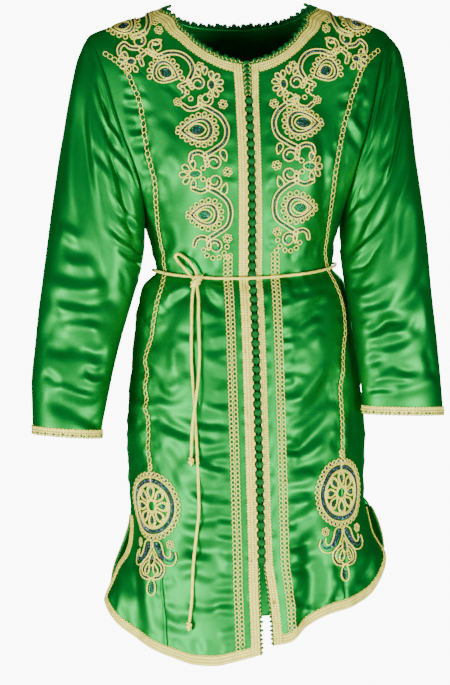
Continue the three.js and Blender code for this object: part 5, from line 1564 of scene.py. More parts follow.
def make_braids():
    for side in SIDES:
        name = SIDE_NAME[side]
        centre, flank = CENTRE[side], FLANK[side]
        every = np.linspace(0, len(centre.spots) - 1, 500)
        edge, beside = spots_on(centre, every, 0), spots_on(centre, every, BRAID_WIDE)
        share = front_braid_share(side, every / every[-1])[:, None]
        beside = edge + (beside - edge) * share
        make_braid(f"front_braid_{name}_plait", [f"front_braid_{name}"], [(side, edge, beside)])
        low, high = hem_strip(centre, BRAID_WIDE * front_braid_share(side, 0) + 0.3, 0)
        flank_low, flank_high = hem_strip(flank, 0, HEM_BRAID_WIDE)
        slit_out, slit_in = slit_strip(flank)
        strips = [(side, low, high), (side, flank_low[1:], flank_high[1:]), (side, slit_out[1:], slit_in[1:])]
        make_braid(f"hem_braid_front_{name}_plait", [f"hem_braid_front_{name}"], strips)
    strips = []
    for side in SIDES:
        low, high = hem_strip(BACK[side], 0, HEM_BRAID_WIDE)
        slit_out, slit_in = slit_strip(BACK[side])
        half = [(side, low, high), (side, slit_out[1:], slit_in[1:])]
        strips += half if side == LEFT else walked_back(half)
    make_braid("hem_braid_back_plait", ["hem_braid_back"], strips)
    strips = []
    for side in SIDES:
        front_low, front_high = neck_edges(
            CENTRE[side], FINE_CENTRE_TOP[-1], BRAID_WIDE * front_braid_share(side, 1) + 0.3
        )
        back_low, back_high = neck_edges(BACK[side], FINE_BACK_UPPER[-1], 0)
        half = [(side, front_low, front_high), (side, back_low[::-1], back_high[::-1])]
        strips += half if side == RIGHT else walked_back(half)
    make_braid("neck_braid_plait", ["neck_braid"], strips)


def neck_edges(panel, rows_count, start):
    top = len(panel.spots) - 1
    place = lambda total: np.linspace(start, total, EDGE_SAMPLES)
    return panel.row(top - rows_count, place), panel.row(top, place)


def make_cuff_braid(side):
    sleeve = SLEEVE[side]
    around = np.linspace(0, 360, CUFF_STEPS, endpoint=False)
    across = np.linspace(0, 1, BRAID_COLUMNS)
    at = CUFF_ROWS[0] + (CUFF_ROWS[1] - CUFF_ROWS[0]) * across
    along = around / 360 * CHEVRON * round(CUFF_ROUND / CHEVRON)
    height = braid_height(across[None, :], along[:, None])
    outer = sleeve.point(at[None, :], around[:, None], LAY_GAP + height)
    under = sleeve.point(at[None, [-1, 0]], around[:, None], LAY_GAP / 2 + 0 * height[:, :2])
    name = f"cuff_braid_{SIDE_NAME[side]}"
    finish_braid(f"{name}_plait", [name], outer, under, along, closed=True)


# Cords and beads laid on the cloth

STRANDS = 3
CHAIN_CORD = 0.62
RING_POINTS = 12


class Stitching:
    """Gathers cords and beads, and makes one mesh of them."""

    def __init__(self):
        self.points, self.quads, self.triangles, self.uv = [], [], [], []
        self.count = 0

    def add(self, points, quads, triangles, uv=None):
        self.points.append(points)
        self.quads.append(quads + self.count)
        self.triangles.append(triangles + self.count)
        self.uv.append(np.zeros((len(points), 2)) if uv is None else uv)
        self.count += len(points)

    def cord(self, path, normals, radius, sides=6, closed=False, flat=1.0, twist=0.0):
        """A tube round a path. Its rings stand square to the path and to the cloth. twist is how deep
        its strands are laid, as a share of the radius."""
        path, normals = np.asarray(path, float), np.asarray(normals, float)
        if closed:
            tangent = unit(np.roll(path, -1, axis=0) - np.roll(path, 1, axis=0))
        else:
            tangent = directions(path)
        across = unit(np.cross(tangent, normals))
        up = np.cross(across, tangent)
        run = run_along(path)[:, None]
        turn = full_turn(sides)[None, :]
        thick = float(np.mean(radius))
        size = np.broadcast_to(radius, len(path))[:, None] + 0 * turn
        if twist:
            lay = STRANDS * turn - run / thick * 0.9
            size = size * (1 - twist * (0.5 + 0.5 * np.cos(lay)) ** 2)
        ring = across[:, None] * np.cos(turn)[..., None] + flat * up[:, None] * np.sin(turn)[..., None]
        points = (path[:, None] + ring * size[..., None]).reshape(-1, 3)
        uv = np.stack(np.broadcast_arrays(turn * thick, run), -1).reshape(-1, 2) * MM
        n = len(path)
        if closed:
            self.add(points, grid_faces(n + 1, sides, wraps=True) % (n * sides), NO_TRIANGLES, uv)
            return
        tip = 0.6 * size[[0, -1], :1]
        points = np.vstack([points, path[0] - tangent[0] * tip[0], path[-1] + tangent[-1] * tip[1]])
        ends = np.arange(sides)
        after = (ends + 1) % sides
        low = (n - 1) * sides
        caps = np.concatenate(
            [
                np.stack([after, ends, n * sides + 0 * ends], -1),
                np.stack([low + ends, low + after, n * sides + 1 + 0 * ends], -1),
            ]
        )
        self.add(points, grid_faces(n, sides, wraps=True), caps, np.vstack([uv, uv[:1], uv[-1:]]))

    def lumps(self, shape, centres, normals, along, radius, tall=0.8):
        """Copies of a small closed shape. tall stretches them away from the cloth."""
        if len(centres) == 0:
            return
        points, triangles = shape
        centres, normals = np.asarray(centres, float), np.asarray(normals, float)
        radius = np.broadcast_to(radius, len(centres))
        across = unit(np.cross(along, normals))
        ahead = np.cross(normals, across)
        local = (
            points[None, :, :1] * across[:, None]
            + points[None, :, 1:2] * ahead[:, None]
            + points[None, :, 2:] * normals[:, None] * tall
        )
        placed = centres[:, None] + local * radius[:, None, None]
        faces = triangles[None] + (np.arange(len(centres)) * len(points))[:, None, None]
        self.add(placed.reshape(-1, 3), NO_QUADS, faces.reshape(-1, 3))

    def beads(self, centres, normals, radius, tall=0.8):
        along = np.where(np.abs(np.asarray(normals)[:, 2:]) < 0.8, [[0, 0.1, 1.0]], [[1.0, 0.1, 0]])
        self.lumps(BEAD, centres, normals, along, radius, tall)

    def make(self, name, material, slot, nodes=()):
        points, uv = np.concatenate(self.points), np.concatenate(self.uv)
        quads, triangles = np.concatenate(self.quads), np.concatenate(self.triangles)
        return make_object(name, points, quads, material, nodes, uv, triangles, "strand")


def ball(subdivisions):
    mesh = bmesh.new()
    bmesh.ops.create_icosphere(mesh, subdivisions=subdivisions, radius=1)
    points = np.array([v.co for v in mesh.verts])
    faces = np.array([[v.index for v in f.verts] for f in mesh.faces])
    mesh.free()
    return points, faces


def knot_ball():
    """A ball knot: one cord led round it so that its turns cross over and under."""
    points, faces = ball(3)
    turn = np.arctan2(points[:, 1], points[:, 0])
    tilt = np.arcsin(np.clip(points[:, 2], -1, 1))
    one = np.cos(3 * turn + 3.2 * tilt)
    other = np.cos(3 * turn - 3.2 * tilt)
    return points * (0.86 + 0.16 * np.maximum(one, other)[:, None]), faces


BEAD = ball(1)
KNOT = knot_ball()


# Places on the cloth for what is sewn to it

def surface(side, spots, out=0.0):
    """Points over the cloth at spots, and the directions out of it."""
    spots = np.asarray(spots)
    angle, z = spots[..., 0], spots[..., 1]
    return body_point(side, angle, z, out), body_normal(np.broadcast_to(side, angle.shape), angle, z)


def flat_surface(side, places, out=0.0):
    """The same, at places of the flattened front: distance round from the middle, and height."""
    places = np.asarray(places, float)
    length = np.maximum(places[..., 0], 0.01)
    angle = angle_of_arc(side, length, places[..., 1])
    return surface(side, np.stack([angle, places[..., 1]], -1), out)


class Track:
    """A line of spots on the cloth, walked by length, with room to step aside from it."""

    def __init__(self, side, spots):
        self.points, self.normals = surface(side, spots)
        self.run = run_along(self.points)
        self.tangents = directions(self.points)

    def read(self, values, along):
        return between(along, self.run, values)

    def place(self, along, across, up):
        """Points beside the line, their normals, and the line's direction there."""
        along, across, up = (v[..., None] for v in np.broadcast_arrays(along, across, up))
        normal = unit(self.read(self.normals, along[..., 0]))
        tangent = unit(self.read(self.tangents, along[..., 0]))
        beside = unit(np.cross(tangent, normal))
        return self.read(self.points, along[..., 0]) + beside * across + normal * up, normal, tangent


class CuffTrack(Track):
    """A line round a sleeve, at its lower edge or above it."""

    def __init__(self, sleeve, at=CUFF_EDGE):
        turn = np.linspace(0, 360, 200) * sleeve.side
        self.points = sleeve.point(at, turn)
        self.normals = sleeve.normal(at + 0 * turn, turn)
        self.run = run_along(self.points)
        round_it = np.vstack([self.points[-2:-1], self.points, self.points[1:2]])
        self.tangents = unit(round_it[2:] - round_it[:-2])


def chain_rings(gold, glass, track, pitch, half_long, half_wide, bead=1.05):
    """A row of small rings of gold cord down a line, with a bead in each."""
    middles = pitch * (np.arange(int(track.run[-1] / pitch)) + 0.5)
    turn = full_turn(RING_POINTS)
    lift = CHAIN_CORD + LAY_GAP + 0.35 * np.cos(turn)
    for middle in middles:
        points, normals, _ = track.place(middle + half_long * np.cos(turn), half_wide * np.sin(turn), lift)
        gold.cord(points, normals, CHAIN_CORD, 5, closed=True)
    centres, normals, _ = track.place(middles, 0, LAY_GAP + 0.75)
    glass.beads(centres, normals, bead)


CHAIN_FOOT = -645
BAND_TOP = -338
# Each chain: the pitch of its rings, half their length and half their width
SEAM_RINGS, BAND_RINGS = (8.8, 4.75, 3.3), (6.3, 3.55, 2.75)


def make_chains():
    """The chain down each curved seam, and the double chain beside each front braid."""
    for side in SIDES:
        name = SIDE_NAME[side]
        centre = CENTRE[side]
        top = len(centre.spots) - 1
        seam_top = sum(FINE_LOWER) + FINE_BUST
        every = np.arange(FINE_LOWER[0], seam_top + 1)
        seam = spots_on(centre, every, 0, from_end=True)
        seam = seam[seam[:, 1] > CHAIN_FOOT]
        gold, glass = Stitching(), Stitching()
        chain_rings(gold, glass, Track(side, seam[::-1]), *SEAM_RINGS)
        gold.make(f"chain_{name}_rings", CORD_GOLD, "gold_chain", [f"chain_{name}"])
        glass.make(f"chain_{name}_beads", BEADS, "gold_chain")
        gold, glass = Stitching(), Stitching()
        for share in (0.24, 0.76):
            line = spots_on(centre, np.arange(FINE_LOWER[0], top), BAND_START + share * BAND_WIDE)
            line = line[line[:, 1] < BAND_TOP]
            chain_rings(gold, glass, Track(side, line[::-1]), *BAND_RINGS, bead=0.95)
        gold.make(f"band_{name}_rings", CORD_GOLD, "gold_chain", [f"band_{name}"])
        glass.make(f"band_{name}_beads", BEADS, "gold_chain")


BUTTON_RADIUS = 5.2
BUTTON_PITCH = 12.1
BUTTON_TOP, BUTTON_BOTTOM = -121, -775
BUTTON_OUT = 2.9
BUTTON_X = 0.7
SPINE_CORD = 1.5
# The gold loops: how far out they start, how far each side's reach in, and the cord's radius
BUTTON_LOOP_FOOT, BUTTON_LOOP_REACH, BUTTON_LOOP_CORD = 8.4, {RIGHT: 2.6, LEFT: 3.9}, 0.95
FORWARD = (0, -1.0, 0)
SQUARE = (np.abs(KNOT[0]) ** 3).sum(axis=1, keepdims=True) ** (1 / 3)
BARREL_KNOT = (KNOT[0] / (0.35 + 0.65 * SQUARE) * np.array([1.1, 0.98, 0.95]), KNOT[1])


def make_buttons():
    """Ball knots on one cord down the opening. Gold loops reach them from the two braids."""
    heights_down = np.arange(BUTTON_TOP - BUTTON_PITCH / 2, BUTTON_BOTTOM, -BUTTON_PITCH)
    count = len(heights_down)
    line_z = np.linspace(BUTTON_TOP, BUTTON_BOTTOM - 2, 300)
    spine = body_point(LEFT, 0, line_z, BUTTON_OUT - 1.2)
    spine[:, 0] = BUTTON_X
    centres = body_point(LEFT, 0, heights_down, BUTTON_OUT)
    centres[:, 0] = BUTTON_X
    knots = Stitching()
    knots.cord(spine, np.tile(FORWARD, (len(spine), 1)), SPINE_CORD, 6)
    lean = np.tile([0.0, 0.0, 1.0], (count, 1))
    lean[:, 0] = 0.22 * np.sin(np.arange(count) * 2.3)
    knots.lumps(BARREL_KNOT, centres, np.tile(FORWARD, (count, 1)), lean, BUTTON_RADIUS, 0.8)
    knots.make("button_knots", GREEN_CORD, "knots", ["button_row"])
    loops = Stitching()
    turn = np.linspace(-1.25, 1.25, 9)
    for n, (z, centre) in enumerate(zip(heights_down, centres)):
        for side in SIDES:
            drop = 0.8 * math.sin(n * 1.7 + side)
            path = np.stack(
                [
                    BUTTON_X + side * (BUTTON_LOOP_FOOT - BUTTON_LOOP_REACH[side] * np.cos(turn)),
                    centre[1] - 1.2 - 1.6 * np.cos(turn),
                    z + drop + 2.3 * np.sin(turn) + BUTTON_PITCH / 2,
                ],
                -1,
            )
            loops.cord(path, np.tile(FORWARD, (len(turn), 1)), BUTTON_LOOP_CORD, 6)
    loops.make("button_loops", CORD_GOLD, "gold_cord")


PICOT_PITCH = 6.3
PICOT_BALL = ball(2)
NECK_PICOT_SCALE, PICOT_SCALE = 1.45, 0.8


def picots(stitches, gold, track, outward, scale=1.0):
    """A crocheted edging: a cord along the edge, knots of uneven size that stand out from it, and a
    gold thread that winds through them."""
    chance = np.random.default_rng(PICOT_SEED)
    along = np.arange(0, track.run[-1], 1.5)
    points, normals, _ = track.place(along, outward * (0.5 + 0.4 * np.sin(along)), 0.5)
    stitches.cord(points, normals, 1.3 * scale, 6)
    middles = np.arange(PICOT_PITCH / 2, track.run[-1], PICOT_PITCH)
    middles = middles + chance.uniform(-0.9, 0.9, len(middles))
    size = np.where(np.arange(len(middles)) % 2, 2.9, 2.2) * chance.uniform(0.85, 1.12, len(middles)) * scale
    stand = outward * (0.6 + 1.05 * size)
    knots, normals, tangents = track.place(middles, stand, 0.6)
    points, faces = PICOT_BALL
    furrows = np.cos(5 * np.arctan2(*points.T[:2]) + 4 * points[:, 2])
    shape = points * (0.86 + 0.16 * furrows)[:, None]
    stitches.lumps((shape, faces), knots, normals, tangents, size, 0.85)
    along = np.arange(0, track.run[-1], 1.1)
    swing = np.sin(2 * math.pi * along / PICOT_PITCH)
    thread, normals, _ = track.place(
        along, outward * (1.5 + 1.2 * swing) * scale, 1.4 * scale + 0.5 * np.cos(along)
    )
    gold.cord(thread, normals, 0.45, 5)
    stems, normals, tangents = track.place(middles + 1.6, outward * 1.6 * scale, 0.7)
    stitches.lumps(BEAD, stems, normals, tangents, 1.5 * scale, 0.9)


# The belt: a cord round the waist, its knot, a loop and two hanging ends

CORD_RADIUS = 2.2
BELT_OUT, BELT_OVER_BUTTONS = 5, 8.2
BELT_SIDE, BELT_DIP, BELT_TILT = -358.5, 16, 2.5
BELT_END_TURN = 3.4
KNOT_INSET = 2.5
BELT_SIDES, KNOT_SIDES = 12, 10
BELT_CORD_STEP = 1.0
CORD_TWIST, KNOT_TWIST = 0.16, 0.14
# The knot's turns: how high each lies, its lean and its half width; then the cord that crosses them
KNOT_TURNS = ((-5.2, 0.35, 5.8), (-0.4, 0.3, 6.5), (4.6, 0.2, 5.8))
KNOT_CROSSING = ((-6.2, 0.5, -7.2), (-4.2, -5.4, -2.8), (2.6, -6.7, 3.0), (7.4, -2.6, 6.6), (7.8, 1.8, 8.0))
BUTTON_HUMP = 12
# The knot at the end of a tail: how far along the cord each of its turns lies, and its half width
TAIL_KNOT_TURNS = ((2.6, 2.7), (5.6, 2.9), (8.3, 2.3))
BELT_KNOT = (-78, -377, 7.7)
BELT_LOOP = (
    (-77, -366.4, 8.4), (-81, -357.5, 8), (-88.5, -348, 7), (-96, -341, 6), (-102, -338.5, 5.5),
    (-105, -341.5, 5.5), (-101.5, -348.5, 6), (-93.5, -358.5, 8), (-86.6, -367.6, 8.6),
)
TAIL_SHORT = (
    (-77.6, -386, 7.8), (-76.5, -402, 5.5), (-77.5, -432, 4.6), (-78, -480, 4.6), (-80, -506, 5.6),
    (-82, -522, 8), (-86, -547, 10.6), (-90, -575, 9.6), (-92, -599, 6.6), (-93.5, -623, 6.4),
)
TAIL_LONG = (
    (-82.6, -386, 7.8), (-85, -402, 5.5), (-87, -432, 4.6), (-89, -487, 4.6), (-88, -524, 4.8),
    (-87, -547, 5), (-86, -575, 5), (-85, -616, 5.4), (-84.5, -675, 5.4), (-85, -700, 4.6),
    (-90, -740, 4.8), (-94.5, -779, 4.8), (-97.5, -825, 5), (-101.5, -854, 6),
)


def over_front(x, z, out):
    """A point over the front, at an exact place of the front view."""
    aim_x, aim_z = x, z
    for _ in range(8):
        point = body_point(RIGHT, angle_at(RIGHT, -aim_x, aim_z), aim_z, out)
        aim_x += x - point[0]
        aim_z += z - point[2]
    return point


def belt_point(turn):
    whole = turn % 360
    side = LEFT if whole <= 180 else RIGHT
    angle = whole if whole <= 180 else 360 - whole
    z = BELT_SIDE - BELT_DIP * max(0, math.cos(math.radians(angle)))
    z += side * BELT_TILT * math.sin(math.radians(angle))
    x = body_point(side, angle, z)[0]
    on_buttons = math.exp(-((x / BUTTON_HUMP) ** 4)) if angle < 90 else 0
    out = BELT_OUT + (BELT_OVER_BUTTONS - BELT_OUT) * on_buttons
    return body_point(side, angle, z, out)


def smooth_cord(points, step):
    """Evenly spaced points along a smooth curve through the points."""
    fine = catmull(points, 40 * (len(points) - 1))
    run = run_along(fine)
    along = np.linspace(0, run[-1], round(run[-1] / step) + 1)
    return between(along, run, fine), run[-1]


def outward(path):
    """Roughly out of the body, for the rings of a cord that lies over it."""
    return unit(path * [1, 1.6, 0] + [0, 0, 1e-3])


def laid_cord(node, path):
    stitches = Stitching()
    stitches.cord(path, outward(path), CORD_RADIUS, BELT_SIDES, twist=CORD_TWIST)
    return stitches.make(f"{node}_cord", CORD_GOLD, "gold_cord", [node])


def make_belt():
    knot_turn = 360 - float(angle_at(RIGHT, -BELT_KNOT[0] - KNOT_INSET, BELT_KNOT[1]))
    turns = np.concatenate(
        [
            heights(knot_turn + BELT_END_TURN * 0.6, 350, 6.5),
            [356.6, 363.4],
            heights(370, knot_turn + 360 - BELT_END_TURN * 0.6, 6.5),
        ]
    )
    belt, _ = smooth_cord([belt_point(turn) for turn in turns], 1.3)
    laid_cord("belt", belt)

    knot = over_front(*BELT_KNOT)
    wraps = Stitching()
    turn = full_turn(28)
    for lift, tilt, wide in KNOT_TURNS:
        path = np.stack(
            [
                knot[0] + wide * np.cos(turn) + 0.25 * lift,
                knot[1] - 0.4 - 3.6 * np.sin(turn) + 0.5 * np.cos(turn),
                knot[2] + lift + tilt * wide * np.cos(turn) + 1.2 * np.sin(turn),
            ],
            -1,
        )
        wraps.cord(path, unit(path - knot + [0, 0, 0.01]), 2.05, KNOT_SIDES, closed=True, twist=KNOT_TWIST)
    path, _ = smooth_cord([knot + np.array(step) for step in KNOT_CROSSING], 0.9)
    wraps.cord(path, unit(path - knot), 2.15, KNOT_SIDES, twist=KNOT_TWIST)
    wraps.lumps(ball(2), knot[None], np.array([FORWARD]), np.array([[0, 0.0, 1]]), 6.0, 0.7)
    stubs = []
    for spot in (TAIL_SHORT[0], TAIL_LONG[0], BELT_LOOP[0], BELT_LOOP[-1]):
        end = over_front(*spot)
        stubs.append([knot + [0, 0.5, 0], (knot + end) / 2 + [0, -0.6, 0], end])
    stubs += [[knot, (knot + end) / 2, end] for end in (belt[0], belt[-1])]
    for points in stubs:
        stub, _ = smooth_cord(points, BELT_CORD_STEP)
        wraps.cord(stub, outward(stub), CORD_RADIUS, KNOT_SIDES, twist=CORD_TWIST)
    wraps.make("belt_knot_cord", CORD_GOLD, "gold_cord", ["belt_knot"])

    ends = {}
    for name, spots in (
        ("belt_loop", BELT_LOOP), ("belt_tail_short", TAIL_SHORT), ("belt_tail_long", TAIL_LONG)
    ):
        path, length = smooth_cord([over_front(*spot) for spot in spots], BELT_CORD_STEP)
        ends[name] = (laid_cord(name, path), path, length)
    for name in ("short", "long"):
        piece, path, length = ends[f"belt_tail_{name}"]
        knotted = tail_knot(name, path)
        [tuple(p) for p in path[::8] * MM]
    piece, path, length = ends["belt_loop"]
    [tuple(p) for p in path[::3] * MM]


def tail_knot(name, path):
    """An overhand knot at the end of the cord, with a short frayed tip."""
    end = path[-1]
    along = unit(path[-1] - path[-4])
    side_way = unit(np.cross(along, outward(path[-1:])[0]))
    front_way = np.cross(side_way, along)
    stitches = Stitching()
    turn = full_turn(20)
    for at, wide in TAIL_KNOT_TURNS:
        ring = (
            end
            + along * (at + 0.8 * np.cos(turn + at))[:, None]
            + side_way * (wide * np.cos(turn))[:, None]
            + front_way * (wide * np.sin(turn))[:, None]
        )
        stitches.cord(ring, unit(ring - end - along * at), 1.75, 8, closed=True, twist=0.12)
    stitches.lumps(ball(2), (end + along * 5.4)[None], along[None], front_way[None], 3.0, 1.5)
    tip = end + along * np.linspace(8.5, 12.4, 4)[:, None]
    stitches.cord(tip, np.tile(front_way, (4, 1)), [1.9, 1.8, 1.6, 1.2], 8)
    return stitches.make(f"tail_knot_{name}_cord", CORD_GOLD, "gold_cord", [f"tail_knot_{name}"])


# Embroidery: gold cord couched in outlines, with beads between

FINE_CORD = 1.08
THREAD_STEP = 1.3


class Motif:
    """Outlines and beads of one side's embroidery, drawn flat. The first coordinate is the distance
    round the cloth from the middle of the front, the second is the height."""

    def __init__(self, side):
        self.side = side
        self.gold, self.glass = Stitching(), Stitching()
        self.shift = np.zeros(2)
        self.layer = 0

    def outline(self, line, closed=False, radius=FINE_CORD, step=THREAD_STEP):
        """Gold cord along a drawn line. Each new line lies a hair higher or lower than the last."""
        line = np.asarray(line, float) + self.shift
        ends = np.vstack([line, line[:1]]) if closed else line
        run = run_along(ends)
        count = max(6, round(run[-1] / step))
        even = between(np.linspace(0, run[-1], count, endpoint=not closed), run, ends)
        self.layer = (self.layer + 1) % 3
        points, normals = flat_surface(self.side, even, LAY_GAP + radius + 0.12 * self.layer)
        self.gold.cord(points, normals, radius, 5, closed=closed, flat=1.15)

    def beads(self, places, radius=1.3):
        places = np.asarray(places, float).reshape(-1, 2) + self.shift
        points, normals = flat_surface(self.side, places, LAY_GAP + 0.7)
        self.glass.beads(points, normals, radius, 0.9)

    def bead_line(self, line, pitch=2.5, radius=1.3, inset=0.0):
        self.beads(evenly(line, pitch, inset), radius)


def evenly(line, pitch, inset=0.0):
    line = np.asarray(line, float)
    run = run_along(line)
    count = max(2, round((run[-1] - 2 * inset) / pitch))
    return between(np.linspace(inset, run[-1] - inset, count), run, line)


def beside(line, distance):
    """The line moved sideways."""
    line = np.asarray(line, float)
    direction = directions(line)
    return line + distance * np.stack([-direction[:, 1], direction[:, 0]], -1)


def arc_of(centre, radius, start, end, count=24):
    """Part of a circle, or of an ellipse where radius is a pair. Angles are in degrees."""
    turn = np.radians(np.linspace(start, end, count))
    wide, high = np.broadcast_to(radius, 2)
    return np.stack([centre[0] + wide * np.cos(turn), centre[1] + high * np.sin(turn)], -1)


def turned(points, centre, degrees):
    turn = math.radians(degrees)
    matrix = np.array([[math.cos(turn), -math.sin(turn)], [math.sin(turn), math.cos(turn)]])
    return np.asarray(points) @ matrix.T + centre


def drop_shape(long, wide, count=28):
    """A teardrop with its point at the origin, lying along the first axis."""
    turn = np.linspace(0, 2 * math.pi, count, endpoint=False)
    x = long * (1 - np.cos(turn)) / 2
    y = wide / 2 * np.sin(turn) * np.sin(turn / 2) ** 0.9 * 1.25
    return np.stack([x, y], -1)


def almond(long, wide):
    """A shape with a point at each end, about the origin."""
    turn = np.linspace(0, 2 * math.pi, 40, endpoint=False)
    across = np.sign(np.sin(turn)) * np.abs(np.sin(turn)) ** 1.4
    return np.stack([long / 2 * np.cos(turn), wide / 2 * across], -1)


def drop(motif, point, degrees, long, wide, filled=True):
    """A petal or leaf: a drop outlined in gold, with beads inside."""
    motif.outline(turned(drop_shape(long, wide), point, degrees), closed=True)
    if filled:
        count = max(1, round(long / 4))
        inside = [[long * (0.42 + 0.34 * (n + 0.5) / count), 0.0] for n in range(count)]
        motif.beads(turned(inside, point, degrees), min(1.5, wide * 0.19))


def round_end(tip, behind, one, other):
    """Half a turn round the end of a stem, from one side of it to the other."""
    ahead = (tip - behind) / np.linalg.norm(tip - behind)
    turn = np.radians(np.arange(25, 180, 26))[:, None]
    half = (one - other) / 2
    return (one + other) / 2 + half * np.cos(turn) + ahead * np.linalg.norm(half) * np.sin(turn)


def channel(motif, points, gap=2.9):
    """A stem: a gold cord all round a line of beads."""
    line = catmull(points, 16 * (len(points) - 1))
    one, other = beside(line, gap), beside(line, -gap)
    far = round_end(line[-1], line[-2], one[-1], other[-1])
    near = round_end(line[0], line[1], other[0], one[0])
    motif.outline(np.vstack([one, far, other[::-1], near]), closed=True)
    motif.bead_line(line, 2.6, 1.5, 1.0)


def curl(motif, start, through, centre, size, turns, direction):
    """A stem that winds up in a spiral. It starts at a point and reaches the spiral's rim."""
    reach = math.degrees(math.atan2(through[1] - centre[1], through[0] - centre[0]))
    steps = np.linspace(0, 1, 30)
    radius = size * (1 - 0.72 * steps)
    turn = np.radians(reach + direction * 360 * turns * steps)
    spiral = np.stack([centre[0] + radius * np.cos(turn), centre[1] + radius * np.sin(turn)], -1)
    lead = catmull([start, through, spiral[2]], 12)[:8]
    line = catmull(np.vstack([lead[::3], spiral[2::3]]), 90)
    outer = beside(line, -2.8 * direction)[: len(line) * 9 // 10]
    inner = beside(line, 2.3 * direction)[: len(line) * 6 // 10]
    near = round_end(line[0], line[1], inner[0], outer[0])
    motif.outline(np.vstack([inner[::-1], near, outer]))
    motif.bead_line(line[: len(line) * 8 // 10], 2.6, 1.4, 1.0)


def ring_row(motif, line, pitch=8.2, radius=3.2, inset=3.0):
    """Small gold rings side by side along a line, with a bead in each."""
    for place in evenly(line, pitch, inset):
        motif.outline(arc_of(place, radius, 0, 360, 13)[:-1], closed=True, radius=0.85, step=1.5)
        motif.beads([place], 1.3)


def eye(motif, centre, degrees, long, wide, loops_from=-150, loops_to=150):
    """A pointed oval: a beaded heart, a beaded band between two outlines, and rings round it."""
    shape = drop_shape(1, 1, 60)
    sized = lambda scale: turned((shape - [0.52, 0]) * [long * scale, wide * scale], centre, degrees)
    for scale in (1.0, 0.72):
        motif.outline(sized(scale), closed=True)
    loop = sized(0.86)
    motif.bead_line(np.vstack([loop, loop[:1]]), 2.5, 1.5)
    heart = lambda scale: turned(almond(long * scale, wide * scale * 0.92), centre, degrees)
    motif.outline(heart(0.52), closed=True)
    for scale in (0.12, 0.31):
        motif.beads(evenly(heart(scale), 2.4), 1.4)
    round_it = turned((drop_shape(1, 1, 120) - [0.52, 0]) * [long + 9.4, wide + 9.8], centre, degrees)
    share = (np.array([loops_from, loops_to]) / 360 + 0.5) * 120
    ring_row(motif, round_it[int(share[0]) : int(share[1])], inset=1.0)


def daisy(motif, centre, heading, petals=5, spread=150, long=12.5, wide=7.6, heart=(7.4, 5.0)):
    """Half a flower: a beaded heart and petals on one side of it."""
    motif.outline(arc_of(centre, heart, 0, 360, 24)[:-1], closed=True)
    motif.beads(arc_of(centre, (heart[0] * 0.55, heart[1] * 0.45), 0, 300, 6), 1.45)
    motif.beads([centre], 1.4)
    for n in range(petals):
        angle = heading + spread * (n / (petals - 1) - 0.5)
        base = arc_of(centre, (heart[0] + 0.9, heart[1] + 0.9), angle, angle, 1)[0]
        drop(motif, base, angle, long, wide)


def dot_flower(motif, centre, size=4.5, dots=6):
    """A little flower of rings round a bead."""
    for n in range(dots):
        place = arc_of(centre, size, 360 * n / dots + 15, 0, 1)[0]
        motif.outline(arc_of(place, 2.1, 0, 360, 9)[:-1], closed=True, radius=0.7, step=1.4)
        motif.beads([place], 1.05)
    motif.beads([centre], 1.3)


